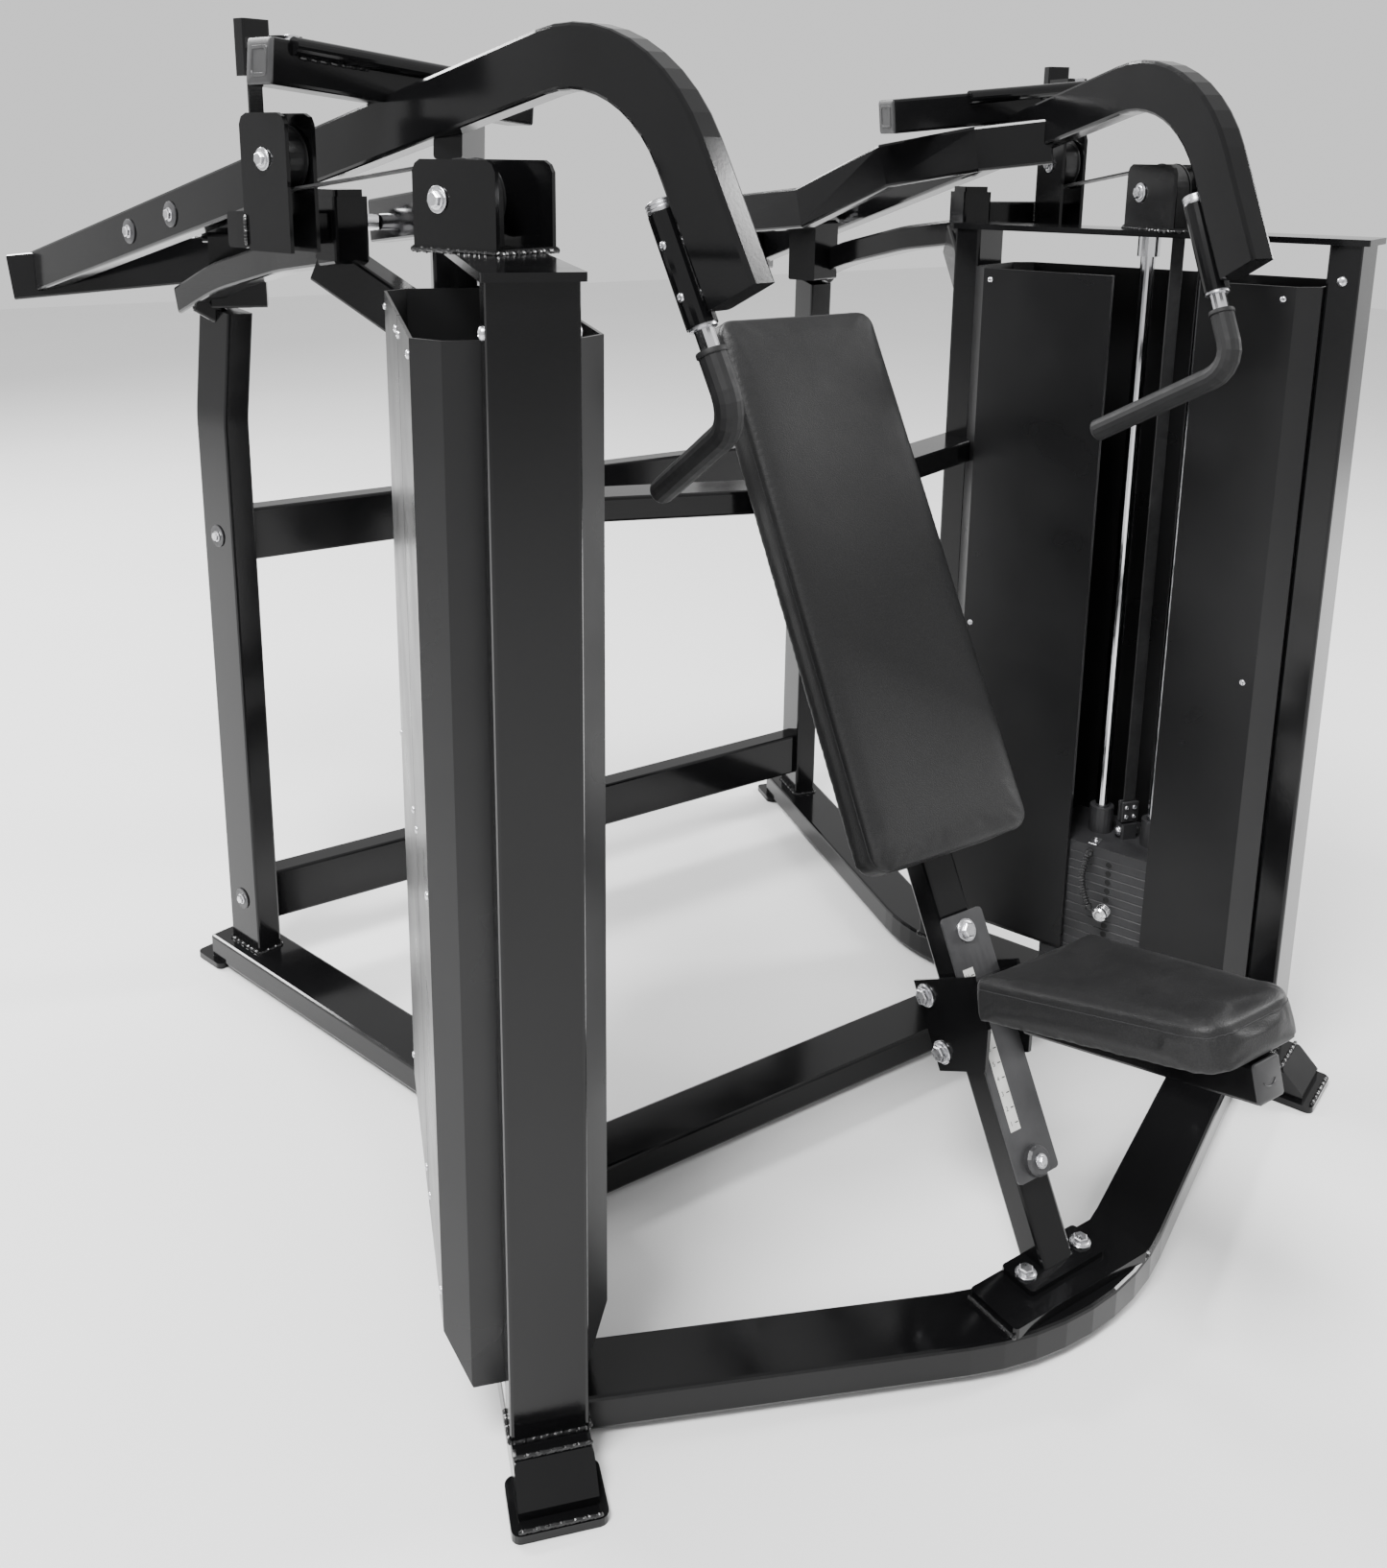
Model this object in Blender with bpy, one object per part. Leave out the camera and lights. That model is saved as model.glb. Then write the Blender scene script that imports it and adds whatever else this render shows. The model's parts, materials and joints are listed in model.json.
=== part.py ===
"""Converging chest press machine with two weight stacks, in metres, +Z up.

The user sits on the centre plane and faces -Y. Each side is drawn at +X, the user's left,
and mirrored for the right. A tower holds a weight stack between two shrouds. A long press
arm turns about a skewed axle on the rear upright, and a belt over two pulleys joins the
arm to its stack.
"""

import math

import bmesh
import bpy
from mathutils import Matrix, Vector

GAP = 0.0003
GROWN_GAP = 0.0004
CORNER = 0.005
CORNER_STEPS = 2
ROUND_STEPS = 20
PULLEY_STEPS = 32
UP = Vector((0, 0, 1))

# Everything is drawn from the front feet's line, then moved so that the origin is central.
DRAWING_TO_FRAME = Vector((0, -0.7935, 0))

# Floor and frame heights
FOOT_HEIGHT = 0.010
RAIL_HEIGHT = 0.050
RAIL_WIDTH = 0.100
RAIL_TOP = FOOT_HEIGHT + RAIL_HEIGHT
RAIL_MIDDLE = FOOT_HEIGHT + RAIL_HEIGHT / 2
TUBE_SHORT = 0.050
TUBE_LONG = 0.100
TOWER_TOP = 1.495
TOP_PLATE_HEIGHT = 0.010

# The tower line runs back and inward over the floor from the front foot.
TOWER_START = Vector((0.765, -0.020, 0))
TOWER_TURN = math.radians(19)
ALONG = Vector((-math.sin(TOWER_TURN), math.cos(TOWER_TURN), 0))
ACROSS = Vector((math.cos(TOWER_TURN), math.sin(TOWER_TURN), 0))
FRONT_UPRIGHT_S = 0.110
REAR_POST_S = 0.760
STACK_S = 0.390
ROD_SPREAD = 0.050
ROD_RADIUS = 0.0125

# The rear rail runs on from the waist to the rear foot.
WAIST = Vector((0.505, 0.736, 0))
REAR_UPRIGHT = Vector((0.690, 1.410, 0))
REAR_ALONG = (REAR_UPRIGHT - WAIST).normalized()
REAR_ACROSS = Vector((REAR_ALONG.y, -REAR_ALONG.x, 0))
REAR_END = REAR_UPRIGHT + REAR_ALONG * 0.085
UPRIGHT_BEND_Z = 1.140
UPRIGHT_TOP_Z = 1.340
UPRIGHT_LEAN = Vector((-0.014, -0.020, 0))
CROSS_TUBE_Y = 1.405
CROSS_RAIL_Y = 0.495
CROSS_TUBE_HEIGHTS = {"lower_cross_tube": 0.165, "upper_cross_tube": 0.915}

# The press arm lies in a vertical plane that opens outward toward the rear.
ARM_ORIGIN = Vector((0.450, 0.040, 0))
ARM_TURN = math.radians(13.44)
ARM_ALONG = Vector((math.sin(ARM_TURN), math.cos(ARM_TURN), 0))
ARM_ACROSS = Vector((math.cos(ARM_TURN), -math.sin(ARM_TURN), 0))
ARM_TALL = 0.080
ARM_THICK = 0.040
ARM_FRONT = (0.045, 1.465)
ARM_CORNER = (0.205, 1.774)
ARM_REAR_H = 1.915
ARM_SLOPE = math.tan(math.radians(13.25))
ARM_BEND_RADIUS = 0.215
HANDLE_LEAN = math.radians(26.8)

# The handle hangs in a sleeve beside the arm's front end.
HANDLE_ROD_RADIUS = 0.0125
SLEEVE_OFFSET = 0.070
SLEEVE_RISE = 0.135

# The link's joints, from the box tube back to the axle
LINK_POINTS = [
    Vector((0.585, 0.600, 1.652)),
    Vector((0.505, 0.700, 1.637)),
    Vector((0.429, 0.861, 1.605)),
    Vector((0.400, 1.072, 1.520)),
    Vector((0.400, 1.330, 1.495)),
]

# The axle crosses the arm and the inner link over the rear upright.
AXLE_POINT = Vector((0.620, 1.355, 1.495))
AXLE_DIRECTION = Vector((math.cos(TOWER_TURN), math.sin(TOWER_TURN), 0))
AXLE_RADIUS = 0.015

# The rail on which the arm rests, and its stop
REST_RAIL_PATH = [
    Vector((0.722, 1.462, 1.352)),
    Vector((0.700, 1.300, 1.405)),
    Vector((0.668, 1.050, 1.455)),
    Vector((0.646, 0.835, 1.482)),
]
STOP_POST = Vector((0.646, 0.860, 0))
STOP_TOP = 1.566

# The belt plane holds the stack, both pulleys and the clamp.
TOP_PULLEY = Vector((0.6525, 0.392, 1.567))
REAR_PULLEY = Vector((0.7725, 0.745, 1.610))
TOP_PULLEY_RADIUS = 0.045
REAR_PULLEY_RADIUS = 0.042
PULLEY_WIDTH = 0.030
PULLEY_BOLT_RADIUS = 0.006
BELT_WIDTH = 0.024
BELT_THICKNESS = 0.003
BELT_CLAMP_LOW = 1.7195
BELT_ALONG = Vector((REAR_PULLEY.x - TOP_PULLEY.x, REAR_PULLEY.y - TOP_PULLEY.y, 0)).normalized()
BELT_ACROSS = Vector((BELT_ALONG.y, -BELT_ALONG.x, 0))

# The box tube lies over the arm, and its outer end carries the belt clamp.
BOX_OUTER = Vector((0.806, 0.690, 1.735))
BOX_INNER = Vector((0.373, 0.803, 1.692))
BOX_SIZE = 0.060

# The stack
PLATE_HEIGHT = 0.0175
PLATE_LENGTH = 0.250
PLATE_WIDTH = 0.150
STACK_FLOOR = 0.120
RESTING_PLATES = 8
LIFTED_PLATES = 6
HEAD_HEIGHT = 0.020
LIFTED_FLOOR = STACK_FLOOR + RESTING_PLATES * PLATE_HEIGHT + GAP
HEAD_FLOOR = LIFTED_FLOOR + LIFTED_PLATES * PLATE_HEIGHT

PIN_RADIUS = 0.005
PIN_HEIGHT = LIFTED_FLOOR + PLATE_HEIGHT / 2
PIN_CORD_RADIUS = 0.007

# Folded sheet covers, in distances from the tower line
SHROUD_LOW = 0.105
SHROUD_HIGH = 1.430
SHROUD_INNER = -0.087
SHROUD_OUTER = 0.120
SHROUD_WALL = 0.004
SHROUD_LIP = 0.008
SHROUD_FOLD = 0.030

# The seat post leans back by this angle; U runs up it and N stands off its front face.
POST_LEAN = math.radians(29.6)
POST_BASE = Vector((0, -0.105, 0.076))
POST_U = Vector((0, math.sin(POST_LEAN), math.cos(POST_LEAN)))
POST_N = Vector((0, -math.cos(POST_LEAN), math.sin(POST_LEAN)))
POST_WIDTH = 0.060
POST_DEPTH = 0.048
SEAT_TILT = math.radians(16.8)
SEAT_ALONG = Vector((0, -math.cos(SEAT_TILT), math.sin(SEAT_TILT)))
SEAT_UP = Vector((0, math.sin(SEAT_TILT), math.cos(SEAT_TILT)))
SEAT_BACK_TOP = Vector((0, -0.003, 0.532))
SEAT_LENGTH = 0.377
SEAT_THICK = 0.062

# Cheek plates of the seat carriage, in distances up the post and off its front face
CARRIAGE_TIE = 0.400
CARRIAGE_OUTLINE = [(0.290, -0.084), (0.290, 0.020), (0.350, 0.055), (0.425, 0.055),
                    (0.425, -0.084)]

COLOURS = {
    "frame_black": ((0.012, 0.012, 0.013), 0.0, 0.22),
    "shroud_black": ((0.030, 0.030, 0.032), 0.0, 0.45),
    "chrome": ((0.80, 0.80, 0.82), 1.0, 0.12),
    "stack_grey": ((0.055, 0.056, 0.060), 0.2, 0.45),
    "slide_grey": ((0.12, 0.12, 0.125), 0.5, 0.40),
    "rubber_black": ((0.020, 0.020, 0.021), 0.0, 0.75),
    "vinyl_black": ((0.018, 0.018, 0.019), 0.0, 0.55),
    "belt_black": ((0.025, 0.025, 0.026), 0.0, 0.65),
    "pulley_black": ((0.040, 0.040, 0.042), 0.0, 0.40),
    "pin_silver": ((0.70, 0.70, 0.71), 1.0, 0.25),
}


def clear_scene():
    for thing in list(bpy.data.objects):
        bpy.data.objects.remove(thing, do_unlink=True)


def material(slot):
    found = bpy.data.materials.get(slot)
    if found:
        return found
    made = bpy.data.materials.new(slot)
    made.use_nodes = True
    colour, metallic, roughness = COLOURS[slot]
    shader = made.node_tree.nodes["Principled BSDF"]
    shader.inputs["Base Color"].default_value = (*colour, 1)
    shader.inputs["Metallic"].default_value = metallic
    shader.inputs["Roughness"].default_value = roughness
    return made


def mesh_object(points, faces):
    """A hidden helper solid with its faces turned outward."""
    mesh = bpy.data.meshes.new("helper")
    mesh.from_pydata([tuple(point) for point in points], [], faces)
    work = bmesh.new()
    work.from_mesh(mesh)
    bmesh.ops.remove_doubles(work, verts=work.verts, dist=0.00001)
    bmesh.ops.recalc_face_normals(work, faces=work.faces)
    work.to_mesh(mesh)
    work.free()
    made = bpy.data.objects.new("helper", mesh)
    bpy.context.scene.collection.objects.link(made)
    made.hide_render = True
    made.display_type = "WIRE"
    return made


def skin(rings):
    """A solid over rings with equal point counts, capped at both ends."""
    count = len(rings[0])
    points = [point for ring in rings for point in ring]
    faces = [tuple(range(count)), tuple(range(len(points) - count, len(points)))]
    for level in range(len(rings) - 1):
        for side in range(count):
            near = level * count + side
            far = level * count + (side + 1) % count
            faces.append((near, near + count, far + count, far))
    return mesh_object(points, faces)


def box_outline(width, height, corner=CORNER, steps=CORNER_STEPS):
    """A rectangle with rounded corners about the origin."""
    outline = []
    for quarter in range(4):
        sign_x = 1 if quarter in (0, 3) else -1
        sign_y = 1 if quarter in (0, 1) else -1
        for step in range(steps + 1):
            angle = math.pi / 2 * (quarter + step / steps)
            x = sign_x * (width / 2 - corner) + corner * math.cos(angle)
            y = sign_y * (height / 2 - corner) + corner * math.sin(angle)
            outline.append((x, y))
    return outline


def round_outline(radius, steps=ROUND_STEPS):
    turns = [2 * math.pi * step / steps for step in range(steps)]
    return [(radius * math.cos(turn), radius * math.sin(turn)) for turn in turns]


def sweep(path, outline, up=UP):
    """A solid of one section swept along a path, mitred where the path turns."""
    path = [Vector(point) for point in path]
    rings = []
    for place, point in enumerate(path):
        before = point - path[max(place - 1, 0)]
        after = path[min(place + 1, len(path) - 1)] - point
        before = (before if before.length else after).normalized()
        after = (after if after.length else before).normalized()
        tangent = (before + after).normalized()
        side = before.cross(up).normalized()
        rise = side.cross(before)
        ring = []
        for x, y in outline:
            offset = side * x + rise * y
            ring.append(point + offset - before * (offset.dot(tangent) / before.dot(tangent)))
        rings.append(ring)
    return skin(rings)


def box_tube(path, width, height, up=UP, corner=CORNER):
    return sweep(path, box_outline(width, height, corner), up)


def rod(start, end, radius, steps=ROUND_STEPS):
    direction = (Vector(end) - Vector(start)).normalized()
    up = UP if abs(direction.z) < 0.9 else Vector((0, 1, 0))
    return sweep([start, end], round_outline(radius, steps), up)


def turned(base, direction, profile, steps=ROUND_STEPS):
    """A turned solid; the profile lists (distance along the axis, radius)."""
    direction = Vector(direction).normalized()
    side = direction.orthogonal().normalized()
    rise = direction.cross(side)
    rings = []
    for distance, radius in profile:
        centre = Vector(base) + direction * distance
        rings.append([centre + side * x + rise * y for x, y in round_outline(radius, steps)])
    return skin(rings)


def slab(corners, thickness):
    """A flat outline given a thickness vector."""
    corners = [Vector(corner) for corner in corners]
    return skin([corners, [corner + Vector(thickness) for corner in corners]])


def plate(centre, first, second, thickness, half_first, half_second, corner=CORNER, steps=4):
    """A rounded rectangular plate on its centre, spanned by two directions."""
    outline = box_outline(2 * half_first, 2 * half_second, corner, steps)
    corners = [centre + first * x + second * y for x, y in outline]
    return slab(corners, thickness)


def rounded_path(points, radius, steps=6):
    """The path with an arc of the given radius at each inner corner."""
    points = [Vector(point) for point in points]
    path = [points[0]]
    for before, corner, after in zip(points, points[1:], points[2:]):
        incoming = (corner - before).normalized()
        outgoing = (after - corner).normalized()
        turn = incoming.angle(outgoing)
        inward = (outgoing - incoming).normalized()
        centre = corner + inward * (radius / math.cos(turn / 2))
        for step in range(steps + 1):
            angle = turn * (step / steps - 0.5)
            path.append(centre + (tangent_at(incoming, outgoing) * math.sin(angle)
                                  - inward * math.cos(angle)) * radius)
    path.append(points[-1])
    return path


def tangent_at(incoming, outgoing):
    return (incoming + outgoing).normalized()


def baked(solid):
    """Applies the helper's modifiers to its mesh."""
    graph = bpy.context.evaluated_depsgraph_get()
    mesh = bpy.data.meshes.new_from_object(solid.evaluated_get(graph))
    solid.modifiers.clear()
    solid.data = mesh
    return solid


def joined(first, *others):
    """One closed body from several overlapping solids."""
    return combined(first, others, "UNION")


def cut(first, *cutters):
    return combined(first, cutters, "DIFFERENCE")


def combined(first, others, operation):
    for other in others:
        step = first.modifiers.new("step", "BOOLEAN")
        step.operation = operation
        step.solver = "EXACT"
        step.object = other
        baked(first)
    return first


def drop(*solids):
    for solid in solids:
        bpy.data.objects.remove(solid, do_unlink=True)


def grown(solid, distance=GROWN_GAP):
    """A copy with each face moved outward, used to cut a fitting gap."""
    copy = mesh_copy(solid)
    work = bmesh.new()
    work.from_mesh(copy.data)
    work.normal_update()
    moves = [vert.normal * distance * vert.calc_shell_factor() for vert in work.verts]
    for vert, move in zip(work.verts, moves):
        vert.co += move
    work.to_mesh(copy.data)
    work.free()
    return copy


def mesh_copy(solid):
    copy = solid.copy()
    copy.data = solid.data.copy()
    copy.hide_render = True
    copy.display_type = "WIRE"
    bpy.context.scene.collection.objects.link(copy)
    return copy


def mirrored(solid):
    copy = mesh_copy(solid)
    copy.data.transform(Matrix.Scale(-1, 4, Vector((1, 0, 0))))
    copy.data.flip_normals()
    return copy


def node(name, solid, slot, origin=(0, 0, 0)):
    """Turns a helper into a named sub-part with its origin on its joint axis."""
    solid.name = name
    solid.data.name = name
    solid.hide_render = False
    solid.display_type = "TEXTURED"
    solid.data.materials.clear()
    solid.data.materials.append(material(slot))
    solid.data.polygons.foreach_set("material_index", [0] * len(solid.data.polygons))
    solid.data.transform(Matrix.Translation(-Vector(origin)))
    solid.location = Vector(origin) + DRAWING_TO_FRAME
    solid.data.shade_smooth()
    solid.data.set_sharp_from_angle(angle=math.radians(38))
    return solid


def pair(name, solid, slot, origin=(0, 0, 0)):
    """The left sub-part and its mirrored right twin."""
    origin = Vector(origin)
    other = mirrored(solid)
    node("right_" + name, other, slot, (-origin.x, origin.y, origin.z))
    node("left_" + name, solid, slot, origin)


def tower(along, across=0.0, height=0.0):
    return TOWER_START + ALONG * along + ACROSS * across + UP * height


def arm(along, height, across=0.0):
    return ARM_ORIGIN + ARM_ALONG * along + ARM_ACROSS * across + UP * height


def axle(along):
    return AXLE_POINT + AXLE_DIRECTION * along


def belt_plane(centre, along, across, height=0.0):
    return centre + BELT_ALONG * along + BELT_ACROSS * across + UP * height


def post(along, off=0.0, across=0.0):
    return POST_BASE + POST_U * along + POST_N * off + Vector((across, 0, 0))


# ------------------------------------------------------------------ floor frame


def side_rail():
    foot_half = 0.060
    path = rounded_path([tower(0.020), WAIST, REAR_END], 0.25)
    rail = box_tube([point + UP * RAIL_MIDDLE for point in path], RAIL_WIDTH, RAIL_HEIGHT)
    toe = slab(
        [
            tower(-0.05, -0.08, FOOT_HEIGHT + 0.012),
            tower(0.018, -0.08, FOOT_HEIGHT + 0.012),
            tower(0.062, -0.08, RAIL_TOP + 0.004),
            tower(-0.05, -0.08, RAIL_TOP + 0.004),
        ],
        ACROSS * 0.16,
    )
    front_foot = plate(
        tower(0.0425), ALONG, ACROSS, UP * (FOOT_HEIGHT + 0.002), 0.0425, foot_half, 0.012
    )
    rear_foot = plate(
        REAR_END + REAR_ALONG * 0.004, REAR_ALONG, REAR_ACROSS,
        UP * (FOOT_HEIGHT + 0.002), 0.0425, foot_half, 0.012,
    )
    rail = joined(cut(rail, toe), front_foot, rear_foot)
    drop(toe, front_foot, rear_foot)
    return rail


def front_rail(rails):
    """The V rail across the front, with its apex plate and end flanges."""
    leg_slope = 0.4386
    leg_turn = math.atan(leg_slope)
    offset = RAIL_WIDTH / 2 / math.cos(leg_turn)
    apex = Vector((0, -0.213 + offset, RAIL_MIDDLE))
    reach = 0.690
    ends = [Vector((side * reach, apex.y + leg_slope * reach, RAIL_MIDDLE)) for side in (-1, 1)]
    rail = box_tube(rounded_path([ends[0], apex, ends[1]], 0.44, 8), RAIL_WIDTH, RAIL_HEIGHT)
    plate_low = RAIL_TOP - 0.002
    apex_plate = plate(
        Vector((0, -0.105, plate_low)), Vector((1, 0, 0)), Vector((0, 1, 0)),
        UP * 0.0165, 0.136, 0.045, 0.006, 2,
    )
    rail = joined(rail, apex_plate)
    drop(apex_plate)
    gaps = [grown(side) for side in rails]
    rail = cut(rail, *gaps)
    drop(*gaps)
    return rail


def floor_cross_tube(rails):
    reach = 0.60
    ends = [Vector((-reach, CROSS_RAIL_Y, RAIL_MIDDLE)), Vector((reach, CROSS_RAIL_Y, RAIL_MIDDLE))]
    tube = box_tube(ends, RAIL_WIDTH, RAIL_HEIGHT)
    gaps = [grown(side) for side in rails]
    tube = cut(tube, *gaps)
    drop(*gaps)
    return tube


def upright(start, along, width, depth, low, high):
    return box_tube([start + UP * low, start + UP * high], width, depth, along)


def front_upright():
    return upright(tower(FRONT_UPRIGHT_S), ALONG, TUBE_LONG, TUBE_SHORT, RAIL_TOP + GAP, TOWER_TOP)


def tower_rear_post():
    return upright(tower(REAR_POST_S), ALONG, TUBE_LONG, TUBE_SHORT, RAIL_TOP + GAP, TOWER_TOP)


def rear_upright():
    bend = REAR_UPRIGHT + UP * UPRIGHT_BEND_Z
    top = REAR_UPRIGHT + UPRIGHT_LEAN + UP * UPRIGHT_TOP_Z
    path = rounded_path([REAR_UPRIGHT + UP * (RAIL_TOP + GAP), bend, top], 0.35, 5)
    return box_tube(path, TUBE_SHORT, TUBE_LONG, REAR_ALONG)


def rear_cross_tube(height, uprights):
    reach = 0.68
    ends = [Vector((side * reach, CROSS_TUBE_Y, height)) for side in (-1, 1)]
    tube = box_tube(ends, TUBE_SHORT, TUBE_LONG)
    gaps = [grown(side) for side in uprights]
    tube = cut(tube, *gaps)
    drop(*gaps)
    return tube


# ------------------------------------------------------------------ tower top and belt route


def tower_top_plate():
    """The cap over the tower posts, with the pulley bracket and the belt slot."""
    low = TOWER_TOP + GAP
    cap = plate(
        tower(0.4325, 0, low), ALONG, ACROSS, UP * TOP_PLATE_HEIGHT, 0.3575, 0.055, 0.004, 2
    )
    base_low = low + TOP_PLATE_HEIGHT - 0.001
    centre = Vector((TOP_PULLEY.x, TOP_PULLEY.y, 0))
    base = plate(
        belt_plane(centre, -0.026, 0, base_low), BELT_ALONG, BELT_ACROSS, UP * 0.007,
        0.073, 0.053, 0.003, 2,
    )
    solids = [base]
    cheek_low = base_low + 0.005
    for side in (-1, 1):
        outline = [(-0.097, cheek_low), (0.045, cheek_low), (0.045, 1.600), (0.040, 1.609),
                   (0.031, 1.614), (-0.083, 1.614), (-0.092, 1.609), (-0.097, 1.600)]
        inner = 0.045 if side > 0 else -0.051
        corners = [belt_plane(centre, along, inner, height) for along, height in outline]
        solids.append(slab(corners, BELT_ACROSS * 0.006))
    solids.append(
        rod(belt_plane(TOP_PULLEY, 0, -0.055), belt_plane(TOP_PULLEY, 0, 0.055),
            PULLEY_BOLT_RADIUS)
    )
    cap = joined(cap, *solids)
    belt_x = -(TOP_PULLEY_RADIUS + BELT_THICKNESS / 2)
    slot = plate(
        belt_plane(centre, belt_x, 0, 1.48), BELT_ALONG, BELT_ACROSS, UP * 0.06,
        0.009, 0.018, 0.003, 1,
    )
    cap = cut(cap, slot)
    drop(slot, *solids)
    return cap


def pulley(centre, radius):
    half = PULLEY_WIDTH / 2
    groove = radius - 0.0005
    profile = [(-half, 0.014), (-half, radius + 0.004), (-half + 0.002, radius + 0.004),
               (-half + 0.0025, groove), (half - 0.0025, groove), (half - 0.002, radius + 0.004),
               (half, radius + 0.004), (half, 0.014)]
    wheel = turned(centre, BELT_ACROSS, profile, PULLEY_STEPS)
    bore = rod(belt_plane(centre, 0, -0.04), belt_plane(centre, 0, 0.04),
               PULLEY_BOLT_RADIUS + GAP)
    wheel = cut(wheel, bore)
    drop(bore)
    return wheel


def arc_points(centre, radius, start, end, steps):
    """Points in the belt plane, with angles measured from its rearward direction."""
    turns = [math.radians(start + (end - start) * step / steps) for step in range(steps + 1)]
    return [belt_plane(centre, radius * math.cos(turn), 0, radius * math.sin(turn))
            for turn in turns]


def belt():
    """The whole belt, from the stack's head over both pulleys to the arm's clamp."""
    top_radius = TOP_PULLEY_RADIUS + BELT_THICKNESS / 2
    rear_radius = REAR_PULLEY_RADIUS + BELT_THICKNESS / 2
    span = Vector((REAR_PULLEY.x - TOP_PULLEY.x, REAR_PULLEY.y - TOP_PULLEY.y, 0)).length
    rise = REAR_PULLEY.z - TOP_PULLEY.z
    reach = math.hypot(span, rise)
    lean = math.asin((top_radius + rear_radius) / reach) - math.atan2(rise, span)
    tangent = 90 - math.degrees(lean)
    head_top = HEAD_FLOOR + HEAD_HEIGHT + 0.030 + GAP
    start = belt_plane(TOP_PULLEY, -top_radius, 0)
    start.z = head_top
    over_top = arc_points(TOP_PULLEY, top_radius, 180, tangent, 8)
    under_rear = arc_points(REAR_PULLEY, rear_radius, tangent - 180, 0, 10)
    end = belt_plane(REAR_PULLEY, rear_radius, 0)
    end.z = BELT_CLAMP_LOW - GAP
    path = [start, *over_top, *under_rear, end]
    return sweep(path, box_outline(BELT_WIDTH, BELT_THICKNESS, 0.0008, 1), BELT_ALONG)


# ------------------------------------------------------------------ rear supports


def belt_bracket(neighbours):
    """A cross tube out from the stop post with two cheek plates for the rear pulley."""
    tube = box_tube([Vector((0.660, 0.862, 1.512)), Vector((0.815, 0.812, 1.512))], 0.046, 0.050)
    solids = []
    cheek_gap = 0.0190
    bolt_reach = 0.029
    outline = [(-0.050, 1.485), (0.040, 1.485), (0.050, 1.495), (0.050, 1.656), (0.045, 1.666),
               (0.034, 1.671), (-0.034, 1.671), (-0.045, 1.666), (-0.050, 1.656)]
    centre = Vector((REAR_PULLEY.x, REAR_PULLEY.y, 0))
    for inner in (cheek_gap, -cheek_gap - 0.006):
        corners = [belt_plane(centre, along, inner, height) for along, height in outline]
        solids.append(slab(corners, BELT_ACROSS * 0.006))
    solids.append(
        rod(belt_plane(REAR_PULLEY, 0, -bolt_reach), belt_plane(REAR_PULLEY, 0, bolt_reach),
            PULLEY_BOLT_RADIUS)
    )
    bridge = plate(
        belt_plane(centre, 0.044, 0, 1.489), BELT_ALONG, BELT_ACROSS, UP * 0.046,
        0.030, 0.0225, 0.003, 1,
    )
    bracket = joined(tube, bridge, *solids)
    gaps = [grown(other) for other in neighbours]
    bracket = cut(bracket, *gaps)
    drop(bridge, *solids, *gaps)
    return bracket


def arm_rest_rail(posts):
    """The static rail under the arm, with its stop post and the brace to the tower."""
    rail = box_tube(rounded_path(REST_RAIL_PATH, 0.9, 3), 0.048, 0.050)
    stop = upright(STOP_POST, ARM_ALONG, 0.060, 0.060, 1.462, STOP_TOP - 0.010)
    pad = upright(STOP_POST, ARM_ALONG, 0.050, 0.050, STOP_TOP - 0.011, STOP_TOP)
    brace = box_tube([Vector((0.655, 0.900, 1.460)), Vector((0.546, 0.724, 1.350))], 0.050, 0.070)
    stub = box_tube([Vector((0.722, 1.405, 1.352)), Vector((0.676, 1.394, 1.322))], 0.045, 0.032)
    rail = joined(rail, stop, pad, brace, stub)
    gaps = [grown(other) for other in posts]
    rail = cut(rail, *gaps)
    drop(stop, pad, brace, stub, *gaps)
    return rail


def pivot_housing(neighbours):
    """The bearing housing and its saddle on the rear upright."""
    housing = rod(axle(-0.135), axle(0.095), 0.036, 28)
    saddle_drop = 0.0845
    saddle = box_tube([axle(-0.010) - UP * saddle_drop, axle(0.085) - UP * saddle_drop],
                      0.070, 0.130, UP, 0.004)
    housing = joined(housing, saddle)
    bore = rod(axle(-0.2), axle(0.2), AXLE_RADIUS + GAP, 28)
    gaps = [grown(other) for other in neighbours]
    housing = cut(housing, bore, *gaps)
    drop(saddle, bore, *gaps)
    return housing


# ------------------------------------------------------------------ stack and shrouds


def lofted_stack(low, count):
    """One closed body whose outline steps in at each joint between plates."""
    inset = 0.0014
    bevel = 0.0012
    rings = []
    for layer in range(count):
        base = low + layer * PLATE_HEIGHT
        for height, shrink in ((0, inset), (bevel, 0), (PLATE_HEIGHT - bevel, 0)):
            outline = box_outline(PLATE_LENGTH - 2 * shrink, PLATE_WIDTH - 2 * shrink, 0.006, 1)
            rings.append([tower(STACK_S + x, y, base + height) for x, y in outline])
    top = low + count * PLATE_HEIGHT
    outline = box_outline(PLATE_LENGTH - 2 * inset, PLATE_WIDTH - 2 * inset, 0.006, 1)
    rings.append([tower(STACK_S + x, y, top) for x, y in outline])
    return skin(rings)


def bored(solid, radius):
    bores = []
    for side in (-1, 1):
        foot = tower(STACK_S + side * ROD_SPREAD)
        bores.append(rod(foot + UP * FOOT_HEIGHT, foot + UP * 0.6, radius))
    solid = cut(solid, *bores)
    drop(*bores)
    return solid


def resting_plates():
    return bored(lofted_stack(STACK_FLOOR + GAP, RESTING_PLATES), ROD_RADIUS + 0.002)


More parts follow.
